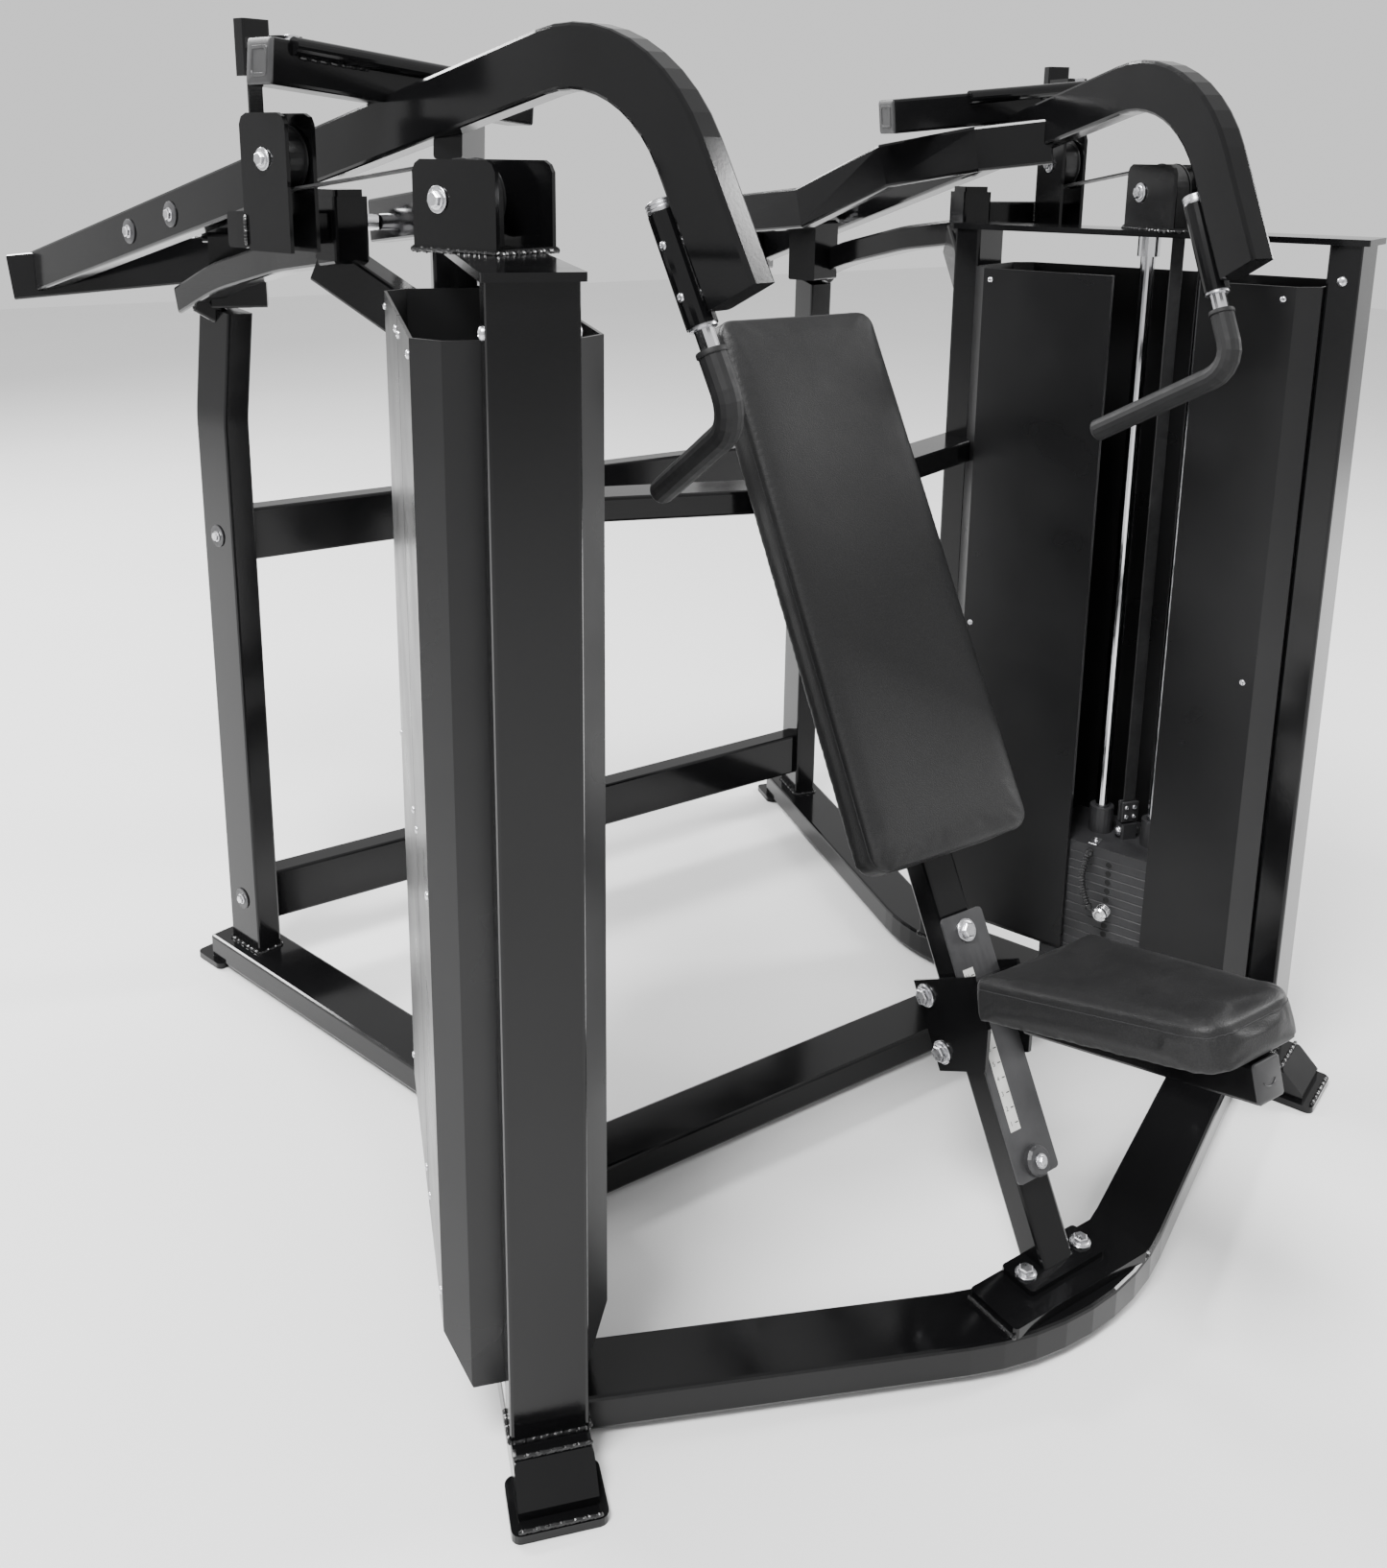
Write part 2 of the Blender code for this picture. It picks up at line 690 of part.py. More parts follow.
def lifted_stack():
    """The selected plates, the head plate and the two bushings on the rods."""
    block = lofted_stack(LIFTED_FLOOR + GAP, LIFTED_PLATES)
    head = plate(tower(STACK_S, 0, HEAD_FLOOR), ALONG, ACROSS, UP * HEAD_HEIGHT,
                 PLATE_LENGTH / 2, PLATE_WIDTH / 2, 0.006, 2)
    top = HEAD_FLOOR + HEAD_HEIGHT
    sleeves = [rod(tower(STACK_S + side * ROD_SPREAD, 0, top - 0.002),
                   tower(STACK_S + side * ROD_SPREAD, 0, top + 0.050), 0.022)
               for side in (-1, 1)]
    lug = plate(tower(STACK_S, 0, top - 0.002), BELT_ALONG, BELT_ACROSS, UP * 0.032,
                0.012, 0.016, 0.003, 1)
    block = joined(block, head, lug, *sleeves)
    drop(head, lug, *sleeves)
    block = bored(block, ROD_RADIUS + 0.0008)
    hole = rod(pin_point(-0.12), pin_point(0.02), PIN_RADIUS + GAP, 16)
    block = cut(block, hole)
    drop(hole)
    return block


def pin_point(outward):
    """A point on the pin's axis; negative values lie toward the user."""
    return tower(STACK_S, outward, PIN_HEIGHT)


def selector_pin():
    face = -PLATE_WIDTH / 2
    shank = rod(pin_point(face + 0.070), pin_point(face - 0.010), PIN_RADIUS, 16)
    knob = turned(
        pin_point(face - 0.001), -ACROSS,
        [(0, 0.009), (0.004, 0.011), (0.020, 0.011), (0.024, 0.013), (0.030, 0.013), (0.033, 0.010)],
        16,
    )
    pin = joined(shank, knob)
    drop(knob)
    return pin


def pin_cord():
    """The curly cord's outer tube, hanging from the head plate to the pin's knob."""
    face = -PLATE_WIDTH / 2
    top = tower(STACK_S + 0.035, face - 0.012, HEAD_FLOOR + 0.010)
    low = tower(STACK_S + 0.022, face - 0.030, PIN_HEIGHT + 0.012)
    middle = tower(STACK_S + 0.050, face - 0.032, (top.z + low.z) / 2)
    points = [bezier(top, middle, low, step / 8) for step in range(9)]
    curve = bpy.data.curves.new("cord", "CURVE")
    curve.dimensions = "3D"
    curve.bevel_depth = PIN_CORD_RADIUS
    curve.bevel_resolution = 2
    curve.use_fill_caps = True
    spline = curve.splines.new("POLY")
    spline.points.add(len(points) - 1)
    for spot, point in zip(spline.points, points):
        spot.co = (*point, 1)
    holder = bpy.data.objects.new("cord", curve)
    bpy.context.scene.collection.objects.link(holder)
    graph = bpy.context.evaluated_depsgraph_get()
    mesh = bpy.data.meshes.new_from_object(holder.evaluated_get(graph))
    drop(holder)
    made = mesh_object([vert.co for vert in mesh.vertices],
                       [tuple(face.vertices) for face in mesh.polygons])
    return made


def bezier(first, middle, last, place):
    return first * (1 - place) ** 2 + middle * 2 * place * (1 - place) + last * place ** 2


def guide_rods():
    """Both rods on one base plate, with rubber rests under the stack and top collars."""
    base = plate(tower(STACK_S, 0, RAIL_TOP + GAP), ALONG, ACROSS, UP * 0.012,
                 0.090, 0.045, 0.005, 2)
    solids = []
    for side in (-1, 1):
        foot = tower(STACK_S + side * ROD_SPREAD)
        solids.append(rod(foot + UP * (RAIL_TOP + 0.005), foot + UP * (TOWER_TOP - 0.001),
                          ROD_RADIUS))
        solids.append(rod(foot + UP * (RAIL_TOP + 0.006), foot + UP * (STACK_FLOOR - 0.0005),
                          0.028))
        solids.append(rod(foot + UP * (TOWER_TOP - 0.035), foot + UP * (TOWER_TOP - 0.001),
                          0.019))
    rods = joined(base, *solids)
    drop(*solids)
    return rods


def shroud(profile):
    """A folded sheet cover; the profile lists (along, across) of its fold line."""
    middle = (SHROUD_LOW + SHROUD_HIGH) / 2
    rings = []
    outer, inner = [], []
    for place, (along, across) in enumerate(profile):
        before = profile[max(place - 1, 0)]
        after = profile[min(place + 1, len(profile) - 1)]
        first = Vector((along - before[0], across - before[1]))
        second = Vector((after[0] - along, after[1] - across))
        first = first.normalized() if first.length else second.normalized()
        second = second.normalized() if second.length else first
        bisector = (first + second).normalized()
        normal = Vector((-bisector.y, bisector.x)) / max(bisector.dot(first), 0.3)
        outer.append((along + normal.x * SHROUD_WALL / 2, across + normal.y * SHROUD_WALL / 2))
        inner.append((along - normal.x * SHROUD_WALL / 2, across - normal.y * SHROUD_WALL / 2))
    outline = outer + inner[::-1]
    for height in (SHROUD_LOW, middle, SHROUD_HIGH):
        rings.append([tower(along, across, height) for along, across in outline])
    return skin(rings)


def corner_trims():
    """Prisms that cut the lower long corners off a shroud."""
    prisms = []
    for edge, inward in ((SHROUD_OUTER, -1), (SHROUD_INNER, 1)):
        outer = edge - inward * 0.010
        inner = edge + inward * 0.036
        corners = [
            tower(0.05, outer, SHROUD_LOW - 0.010),
            tower(0.05, inner, SHROUD_LOW - 0.010),
            tower(0.05, outer, SHROUD_LOW + 0.080),
        ]
        prisms.append(slab(corners, ALONG * 0.80))
    return prisms


def trimmed(cover, *others):
    trims = [*corner_trims(), *[grown(other) for other in others]]
    cover = cut(cover, *trims)
    drop(*trims)
    return cover


def front_shroud():
    start = FRONT_UPRIGHT_S + TUBE_SHORT / 2 + SHROUD_WALL / 2 + GAP
    return trimmed(shroud([
        (0.315, SHROUD_INNER + SHROUD_LIP), (0.315, SHROUD_INNER),
        (start + SHROUD_FOLD, SHROUD_INNER), (start, SHROUD_INNER + SHROUD_FOLD),
        (start, SHROUD_OUTER - SHROUD_FOLD), (start + SHROUD_FOLD, SHROUD_OUTER),
        (0.388, SHROUD_OUTER),
    ]))


def rear_shroud(brace):
    end = REAR_POST_S - TUBE_SHORT / 2 - SHROUD_WALL / 2 - GAP
    return trimmed(shroud([
        (0.392, SHROUD_OUTER), (end - SHROUD_FOLD, SHROUD_OUTER),
        (end, SHROUD_OUTER - SHROUD_FOLD), (end, SHROUD_INNER + SHROUD_FOLD),
        (end - SHROUD_FOLD, SHROUD_INNER), (0.468, SHROUD_INNER),
        (0.468, SHROUD_INNER + SHROUD_LIP),
    ]), brace)


# ------------------------------------------------------------------ press arm


def arm_height(along):
    """Height of the rear straight's centreline at a distance along the arm's plane."""
    rear_y = ARM_ORIGIN.y + ARM_ALONG.y * along
    return 1.584 - ARM_SLOPE * (rear_y - 1.024)


def arm_path():
    corner = (ARM_CORNER[0], arm_height(ARM_CORNER[0]))
    points = [arm(*ARM_FRONT), arm(*corner), arm(ARM_REAR_H, arm_height(ARM_REAR_H))]
    return rounded_path(points, ARM_BEND_RADIUS, 10)


def press_arm():
    """The arm tube with its handle sleeve."""
    tube = box_tube(arm_path(), ARM_THICK, ARM_TALL)
    lean = handle_lean()
    top = sleeve_top()
    sleeve = rod(top - lean * 0.143, top, 0.020)
    web = box_tube([top - lean * 0.125, top - lean * 0.030], 0.012, 0.060, ARM_ALONG)
    web.data.transform(Matrix.Translation(-sleeve_side() * SLEEVE_OFFSET / 2))
    tube = joined(tube, web, sleeve)
    bore = rod(top - lean * 0.2, top - lean * 0.010, HANDLE_ROD_RADIUS + GAP)
    tube = cut(tube, bore)
    drop(sleeve, web, bore)
    return tube


def handle_lean():
    return Vector((ARM_ALONG.x * math.sin(HANDLE_LEAN), ARM_ALONG.y * math.sin(HANDLE_LEAN),
                   math.cos(HANDLE_LEAN)))


def sleeve_side():
    """From the arm's front end toward the sleeve, square to both."""
    return Vector((ARM_ALONG.x * math.cos(HANDLE_LEAN), ARM_ALONG.y * math.cos(HANDLE_LEAN),
                   -math.sin(HANDLE_LEAN)))


def sleeve_top():
    return arm(*ARM_FRONT) + sleeve_side() * SLEEVE_OFFSET + handle_lean() * SLEEVE_RISE


def counterweight():
    """The bar across the arm's tail, running inward and forward."""
    tail = arm(ARM_REAR_H + 0.050, arm_height(ARM_REAR_H + 0.050), 0.020)
    inward = Vector((-0.735, -0.620, 0.105)).normalized()
    return box_tube([tail, tail + inward * 0.44], 0.080, 0.090)


def inner_link(neighbours):
    link = box_tube(LINK_POINTS, 0.040, 0.080)
    gaps = [grown(other) for other in neighbours]
    link = cut(link, *gaps)
    drop(*gaps)
    return link


def pivot_axle(arm_solid):
    """The axle with its flange against the arm and a collar against the link."""
    flange_at = axle_to_arm()
    shaft = rod(axle(-0.212), axle(flange_at - 0.001), AXLE_RADIUS, 28)
    collar = rod(axle(-0.170), axle(-0.146), 0.026, 28)
    boss = rod(axle(0.108), axle(flange_at - 0.002), 0.028, 28)
    shaft = joined(shaft, collar, boss)
    gap = grown(arm_solid)
    shaft = cut(shaft, gap)
    drop(collar, boss, gap)
    return shaft


def axle_to_arm():
    """Distance along the axle to the arm's inner face."""
    normal = ARM_ACROSS
    gap = (ARM_ORIGIN - AXLE_POINT).dot(normal) - ARM_THICK / 2
    return gap / AXLE_DIRECTION.dot(normal)


def box_tube_piece(neighbours):
    """The cross box tube over the arm with a round bar along it and the belt clamp."""
    tube = box_tube([BOX_OUTER, BOX_INNER], BOX_SIZE, BOX_SIZE)
    direction = (BOX_INNER - BOX_OUTER).normalized()
    front = direction.cross(UP).normalized()
    if front.y > 0:
        front = -front
    lift = front * 0.030 + UP * 0.022
    bar = rod(BOX_OUTER + direction * 0.03 + lift, BOX_OUTER + direction * 0.30 + lift, 0.0125)
    clamp_spot = belt_plane(REAR_PULLEY, REAR_PULLEY_RADIUS + BELT_THICKNESS / 2, 0)
    clamp_spot.z = BELT_CLAMP_LOW
    clamp = plate(clamp_spot, BELT_ALONG, BELT_ACROSS, UP * 0.075, 0.012, 0.022, 0.003, 1)
    ledge = plate(clamp_spot - BELT_ALONG * 0.040 + UP * 0.036, BELT_ALONG, BELT_ACROSS,
                  UP * 0.014, 0.046, 0.020, 0.003, 1)
    tube = joined(tube, bar, clamp, ledge)
    gaps = [grown(other) for other in neighbours]
    tube = cut(tube, *gaps)
    drop(bar, clamp, ledge, *gaps)
    return tube


def handle_points():
    """The chrome rod's axis down from the sleeve, then the grip's elbow and tip."""
    top = sleeve_top() - handle_lean() * 0.012
    elbow = sleeve_top() - handle_lean() * 0.265
    tip = elbow + Vector((-0.038, 0.218, -0.128))
    return top, elbow, tip


def handle_rod():
    top, elbow, tip = handle_points()
    path = rounded_path([top, elbow, tip], 0.040, 5)
    axis_up = Vector((1, 0, 0))
    return sweep(path[:-1] + [elbow + (tip - elbow) * 0.9], round_outline(HANDLE_ROD_RADIUS, 16),
                 axis_up)


def handle_grip(rod_solid):
    top, elbow, tip = handle_points()
    start = elbow + (top - elbow).normalized() * 0.090
    path = rounded_path([start, elbow, tip], 0.045, 5)
    grip = sweep(path, round_outline(0.018, 16), Vector((1, 0, 0)))
    gap = grown(rod_solid)
    grip = cut(grip, gap)
    drop(gap)
    return grip


# ------------------------------------------------------------------ seat


def seat_post(neighbours):
    """The leaning post with its foot plate and the adjustment rack on its rear face."""
    length = 1.290
    middle = -POST_DEPTH / 2
    start = post(-0.030, middle)
    tube = box_tube([start, post(length, middle)], POST_WIDTH, POST_DEPTH, POST_N)
    foot_low = RAIL_TOP + 0.0145 + GAP
    floor_cut = plate(Vector((0, -0.08, foot_low - 0.10)), Vector((1, 0, 0)), Vector((0, 1, 0)),
                      UP * 0.10, 0.2, 0.2, 0.01, 1)
    foot = plate(Vector((0, -0.090, foot_low)), Vector((1, 0, 0)), Vector((0, 1, 0)), UP * 0.008,
                 0.075, 0.0305, 0.006, 2)
    rack = rack_solid()
    tube = joined(cut(tube, floor_cut), foot, rack)
    drop(floor_cut, foot, rack)
    gaps = [grown(other) for other in neighbours]
    tube = cut(tube, *gaps)
    drop(*gaps)
    return tube


def rack_solid():
    """A toothed strip on the post's rear face."""
    teeth = 9
    pitch = 0.022
    start = 0.148
    back = -POST_DEPTH
    outline = [(start - 0.010, back + 0.004), (start - 0.010, back - 0.006)]
    for tooth in range(teeth):
        low = start + tooth * pitch
        outline += [(low, back - 0.018), (low + 0.012, back - 0.018), (low + 0.014, back - 0.006)]
    outline += [(start + teeth * pitch, back - 0.006), (start + teeth * pitch, back + 0.004)]
    corners = [post(along, off, -0.010) for along, off in outline]
    return slab(corners, Vector((0.020, 0, 0)))


def slide_plate():
    """The satin plate ahead of the post, on two spacers, with the lower bumper."""
    low = 0.128
    length = 0.380
    centre = post(low + length / 2, 0.0095)
    sheet = plate(centre, Vector((1, 0, 0)), POST_U, POST_N * 0.004, 0.0405, length / 2, 0.006, 2)
    spacers = [plate(post(low + offset, GAP), Vector((1, 0, 0)), POST_U, POST_N * 0.010,
                     0.020, 0.012, 0.003, 1) for offset in (0.025, length - 0.025)]
    bumper = turned(post(low + 0.022, 0.012), POST_N,
                    [(0, 0.0215), (0.010, 0.0215), (0.014, 0.018)])
    sheet = joined(sheet, bumper, *spacers)
    drop(bumper, *spacers)
    return sheet


def seat_carriage():
    """Cheek plates round the post, and the arm that carries the seat pad."""
    arm_up = 0.025 + 0.0035
    back = SEAT_BACK_TOP - SEAT_UP * (SEAT_THICK + arm_up)
    front = back + SEAT_ALONG * 0.372
    direction = (front - back).normalized()
    support = box_tube([back - direction * 0.010, front], 0.050, 0.050)
    cheeks = []
    for inner in (0.0412, -0.0472):
        corners = [post(along, off, inner) for along, off in CARRIAGE_OUTLINE]
        cheeks.append(slab(corners, Vector((0.006, 0, 0))))
    half = 0.044
    rear_tie = box_tube([post(CARRIAGE_TIE, -0.076, -half), post(CARRIAGE_TIE, -0.076, half)],
                        0.010, 0.020, POST_U, 0.003)
    front_tie = box_tube([post(CARRIAGE_TIE, 0.036, -half), post(CARRIAGE_TIE, 0.036, half)],
                         0.030, 0.030, POST_U, 0.003)
    web = box_tube([post(CARRIAGE_TIE, 0.036, 0), front + (back - front) * 0.80], 0.044, 0.034)
    carriage = joined(support, front_tie, web, *cheeks, rear_tie)
    drop(front_tie, web, rear_tie, *cheeks)
    return carriage


def seat_pad():
    back_half = 0.123
    front_half = 0.095
    corner = 0.045
    low = SEAT_BACK_TOP - SEAT_UP * SEAT_THICK
    front = low + SEAT_ALONG * SEAT_LENGTH
    corners = []
    for step in range(5):
        angle = math.pi / 2 * step / 4
        corners.append(front + Vector((1, 0, 0)) * (front_half - corner + corner * math.sin(angle))
                       - SEAT_ALONG * (corner - corner * math.cos(angle)))
    corners = [low + Vector((back_half, 0, 0)), *reversed(corners)]
    corners += [Vector((-corner_point.x, corner_point.y, corner_point.z))
                for corner_point in reversed(corners)]
    return slab(corners, SEAT_UP * SEAT_THICK)


def back_pad():
    low, high = 0.593, 1.471
    thick = 0.058
    return plate(post((low + high) / 2, 0.0006), Vector((1, 0, 0)), POST_U, POST_N * thick,
                 0.160, (high - low) / 2, 0.030, 4)


def pad_brace(neighbours):
    """The cross tubes from both tower rear posts to the seat post."""
    outer = tower(REAR_POST_S, 0, 1.090)
    middle = Vector((0, 0.535, 1.090))
    path = [Vector((-outer.x, outer.y, outer.z)), Vector((-0.05, middle.y, middle.z)),
            Vector((0.05, middle.y, middle.z)), outer]
    tube = box_tube(path, 0.080, 0.040)
    gaps = [grown(other) for other in neighbours]
    tube = cut(tube, *gaps)
    drop(*gaps)
    return tube


# ------------------------------------------------------------------ assembly


def both(solid):
    return [solid, mirrored(solid)]


def build():
    clear_scene()
    rails = both(side_rail())
    fronts = front_upright()
    posts = both(tower_rear_post())
    uprights = both(rear_upright())
    node("front_rail", front_rail(rails), "frame_black")
    node("floor_cross_tube", floor_cross_tube(rails), "frame_black")
    for name, height in CROSS_TUBE_HEIGHTS.items():
        node(name, rear_cross_tube(height, uprights), "frame_black")
    seat = seat_post([])
    brace = pad_brace([*posts, seat])
    pair("tower_top_plate", tower_top_plate(), "frame_black")
    rest = arm_rest_rail([posts[0], uprights[0]])
    pair("belt_bracket", belt_bracket([rest]), "frame_black")
    pair("pivot_housing", pivot_housing([uprights[0], rest]), "frame_black", axle(0))
    pair("arm_rest_rail", rest, "frame_black")
    pair("front_shroud", front_shroud(), "shroud_black")
    pair("rear_shroud", rear_shroud(brace), "shroud_black")
    node("pad_brace", brace, "frame_black")
    pair("front_upright", fronts, "frame_black")
    drop(posts[1], uprights[1], rails[1])
    pair("tower_rear_post", posts[0], "frame_black")
    pair("rear_upright", uprights[0], "frame_black")
    pair("side_rail", rails[0], "frame_black")
    pair("guide_rods", guide_rods(), "chrome")
    pair("resting_plates", resting_plates(), "stack_grey")
    pair("lifted_stack", lifted_stack(), "stack_grey", tower(STACK_S, 0, LIFTED_FLOOR))
    pair("selector_pin", selector_pin(), "pin_silver", pin_point(-PLATE_WIDTH / 2))
    pair("pin_cord", pin_cord(), "rubber_black")
    pair("belt", belt(), "belt_black")
    pair("top_pulley", pulley(TOP_PULLEY, TOP_PULLEY_RADIUS), "pulley_black", TOP_PULLEY)
    pair("rear_pulley", pulley(REAR_PULLEY, REAR_PULLEY_RADIUS), "pulley_black", REAR_PULLEY)
    arm_solid = press_arm()
    axle_solid = pivot_axle(arm_solid)
    weight = counterweight()
    gap = grown(arm_solid)
    weight = cut(weight, gap)
    drop(gap)
    pair("counterweight", weight, "frame_black", AXLE_POINT)
    pair("inner_link", inner_link([arm_solid, axle_solid]), "frame_black", AXLE_POINT)
    pair("box_tube", box_tube_piece([arm_solid]), "frame_black", AXLE_POINT)
    bar = handle_rod()
    pair("handle_grip", handle_grip(bar), "rubber_black", sleeve_top())
    pair("handle_rod", bar, "chrome", sleeve_top())
    pair("pivot_axle", axle_solid, "chrome", AXLE_POINT)
    pair("press_arm", arm_solid, "frame_black", AXLE_POINT)
    node("seat_post", seat, "frame_black")
    node("slide_plate", slide_plate(), "slide_grey")
    node("seat_carriage", seat_carriage(), "frame_black", post(0.35))
    node("seat_pad", seat_pad(), "vinyl_black", post(0.35))
    node("back_pad", back_pad(), "vinyl_black")


build()
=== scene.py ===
"""Looks for the converging chest press: materials, pads, belts, cords, bolts and welds."""

import json
import math

import bmesh
import bpy
import numpy as np
from mathutils import Matrix, Vector


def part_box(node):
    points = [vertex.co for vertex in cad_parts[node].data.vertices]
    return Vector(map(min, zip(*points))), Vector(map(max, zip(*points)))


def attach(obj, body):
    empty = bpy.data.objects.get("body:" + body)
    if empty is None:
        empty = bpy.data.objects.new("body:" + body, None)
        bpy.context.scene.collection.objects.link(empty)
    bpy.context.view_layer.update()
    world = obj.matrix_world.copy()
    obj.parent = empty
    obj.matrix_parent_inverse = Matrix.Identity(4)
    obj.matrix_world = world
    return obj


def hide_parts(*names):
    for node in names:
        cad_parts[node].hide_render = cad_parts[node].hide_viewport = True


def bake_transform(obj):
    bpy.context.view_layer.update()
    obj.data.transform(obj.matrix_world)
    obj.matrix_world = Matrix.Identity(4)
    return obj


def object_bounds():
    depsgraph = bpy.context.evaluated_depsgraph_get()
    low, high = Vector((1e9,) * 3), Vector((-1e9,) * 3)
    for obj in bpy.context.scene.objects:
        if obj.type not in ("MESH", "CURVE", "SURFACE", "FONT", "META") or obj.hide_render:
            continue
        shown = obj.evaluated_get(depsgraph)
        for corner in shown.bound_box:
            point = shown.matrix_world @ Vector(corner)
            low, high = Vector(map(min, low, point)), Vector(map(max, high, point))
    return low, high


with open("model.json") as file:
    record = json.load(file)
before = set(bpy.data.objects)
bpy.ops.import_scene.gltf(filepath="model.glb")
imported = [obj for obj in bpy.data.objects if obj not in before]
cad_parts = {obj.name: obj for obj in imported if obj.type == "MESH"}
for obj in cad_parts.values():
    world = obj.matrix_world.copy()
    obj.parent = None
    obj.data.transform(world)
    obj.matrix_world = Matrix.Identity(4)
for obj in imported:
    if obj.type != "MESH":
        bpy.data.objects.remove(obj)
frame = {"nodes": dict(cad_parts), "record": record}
cad_low, cad_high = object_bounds()

UP = Vector((0, 0, 1))
RIGHT_WAY = Vector((1, 0, 0))

# The solids are drawn from the line of the front feet, which is this far ahead of the origin.
FRAME_SHIFT = -0.7935

# The tower line, which runs back and inward from the front foot
TOWER_START = Vector((0.765, -0.020, 0))
TOWER_TURN = math.radians(19)
ALONG = Vector((-math.sin(TOWER_TURN), math.cos(TOWER_TURN), 0))
ACROSS = Vector((math.cos(TOWER_TURN), math.sin(TOWER_TURN), 0))
TOWER_TOP = 1.495
CAP_TOP = TOWER_TOP + 0.0103
FRONT_UPRIGHT_S = 0.110
REAR_POST_S = 0.760
TUBE_LONG = 0.100
TUBE_SHORT = 0.050
RAIL_TOP = 0.060
RAIL_FACE = RAIL_TOP + 0.0015
RAIL_MIDDLE = 0.035

# The rear rail and upright
WAIST = Vector((0.505, 0.736, 0))
REAR_UPRIGHT = Vector((0.690, 1.410, 0))
REAR_ALONG = (REAR_UPRIGHT - WAIST).normalized()
REAR_ACROSS = Vector((REAR_ALONG.y, -REAR_ALONG.x, 0))
CROSS_TUBE_HEIGHTS = (0.165, 0.915)

# The press arm's plane
ARM_ORIGIN = Vector((0.450, 0.040, 0))
ARM_TURN = math.radians(13.44)
ARM_ALONG = Vector((math.sin(ARM_TURN), math.cos(ARM_TURN), 0))
ARM_ACROSS = Vector((math.cos(ARM_TURN), -math.sin(ARM_TURN), 0))
ARM_SLOPE = math.tan(math.radians(13.25))
ARM_FRONT = (0.045, 1.465)
ARM_THICK = 0.040
ARM_BACK_Y = 1.024
ARM_BACK_HEIGHT = 1.584
ARM_BOLTS_Y = 1.405
ARM_BOLTS_APART = 0.155
ARM_TAIL = 1.917

# The handle, which hangs from a sleeve on the arm's front end
HANDLE_LEAN = math.radians(26.8)
SLEEVE_OFFSET = 0.070
SLEEVE_RISE = 0.135
SLEEVE_RADIUS = 0.0195
ELBOW_DROP = 0.265
GRIP_RUN = Vector((-0.038, 0.218, -0.128))
GRIP_RADIUS = 0.018

# The belt plane and what it holds
TOP_PULLEY = Vector((0.6525, 0.392, 1.567))
REAR_PULLEY = Vector((0.7725, 0.745, 1.610))
BELT_ALONG = (REAR_PULLEY - TOP_PULLEY) * Vector((1, 1, 0))
BELT_ALONG.normalize()
BELT_ACROSS = Vector((BELT_ALONG.y, -BELT_ALONG.x, 0))
BELT_DROP = 0.0465
TOP_BRACKET_FACE = 0.051
REAR_BRACKET_FACE = 0.025
BOX_SIZE = 0.060
BOX_OUTER = Vector((0.806, 0.690, 1.735))
BOX_INNER = Vector((0.373, 0.803, 1.692))

# The stack
STACK_S = 0.390
PLATE_HEIGHT = 0.0175
PLATE_WIDTH = 0.150
STACK_FLOOR = 0.120
PLATES = 14
PIN_PLATE = 8
PIN_HEIGHT = STACK_FLOOR + (PIN_PLATE + 0.5) * PLATE_HEIGHT
HEAD_FLOOR = STACK_FLOOR + PLATES * PLATE_HEIGHT
HEAD_TOP = HEAD_FLOOR + 0.020

# The pins' coiled keeper cords
CORD_WIRE = 0.0024
CORD_COIL = 0.0050
CORD_TURNS = 19
CORD_STEPS = 14

# The shrouds
SHROUD_LOW = 0.105
SHROUD_HIGH = 1.430
SHROUD_OUTER = 0.122
SHROUD_INNER = -0.089
OUTER_SCREWS = (0.185, 0.360, 0.420, 0.690)
INNER_SCREWS = (0.185, 0.690)

# The seat
POST_LEAN = math.radians(29.6)
POST_BASE = Vector((0, -0.105, 0.076))
POST_U = Vector((0, math.sin(POST_LEAN), math.cos(POST_LEAN)))
POST_N = Vector((0, -math.cos(POST_LEAN), math.sin(POST_LEAN)))
SEAT_TILT = math.radians(16.8)
SEAT_ALONG = Vector((0, -math.cos(SEAT_TILT), math.sin(SEAT_TILT)))
SEAT_UP = Vector((0, math.sin(SEAT_TILT), math.cos(SEAT_TILT)))
SEAT_BACK_TOP = Vector((0, -0.003, 0.532))
SEAT_LENGTH = 0.377
SEAT_THICK = 0.062
BACK_THICK = 0.058
SLIDE_LOW = 0.128
SLIDE_LENGTH = 0.380
SLIDE_FACE = 0.0135
POST_FOOT_TOP = RAIL_TOP + 0.0228
CARRIAGE_BOLTS = (0.318, 0.402)
CARRIAGE_FACE = 0.0472

# The pads' covers
PAD_SHRINK = 0.0025
PAD_ROLL = 0.013
PAD_SEAM_DROP = 0.017
PAD_BULGE = 0.0030
PAD_PRESSURE = 4.0
PAD_STIFFNESS = 40
PAD_STEPS = 20

# Small hardware: how far a weld lies off a tube's face, and bolts as head and washer radius
WELD_OFF = 0.001
TUBE_BOLT = (0.0095, 0.022)
BRACKET_BOLT = (0.0095, 0.0155)

# The camera stands at head height, ahead of the user's right tower.
CAMERA_PLACE = Vector((-1.418, -1.259 + FRAME_SHIFT, 1.625))
CAMERA_YAW = math.radians(33.7)
CAMERA_PITCH = math.radians(13.54)
CAMERA_ROLL = math.radians(0.66)
CAMERA_LENS = 33.0
CAMERA_SHIFT = -0.182


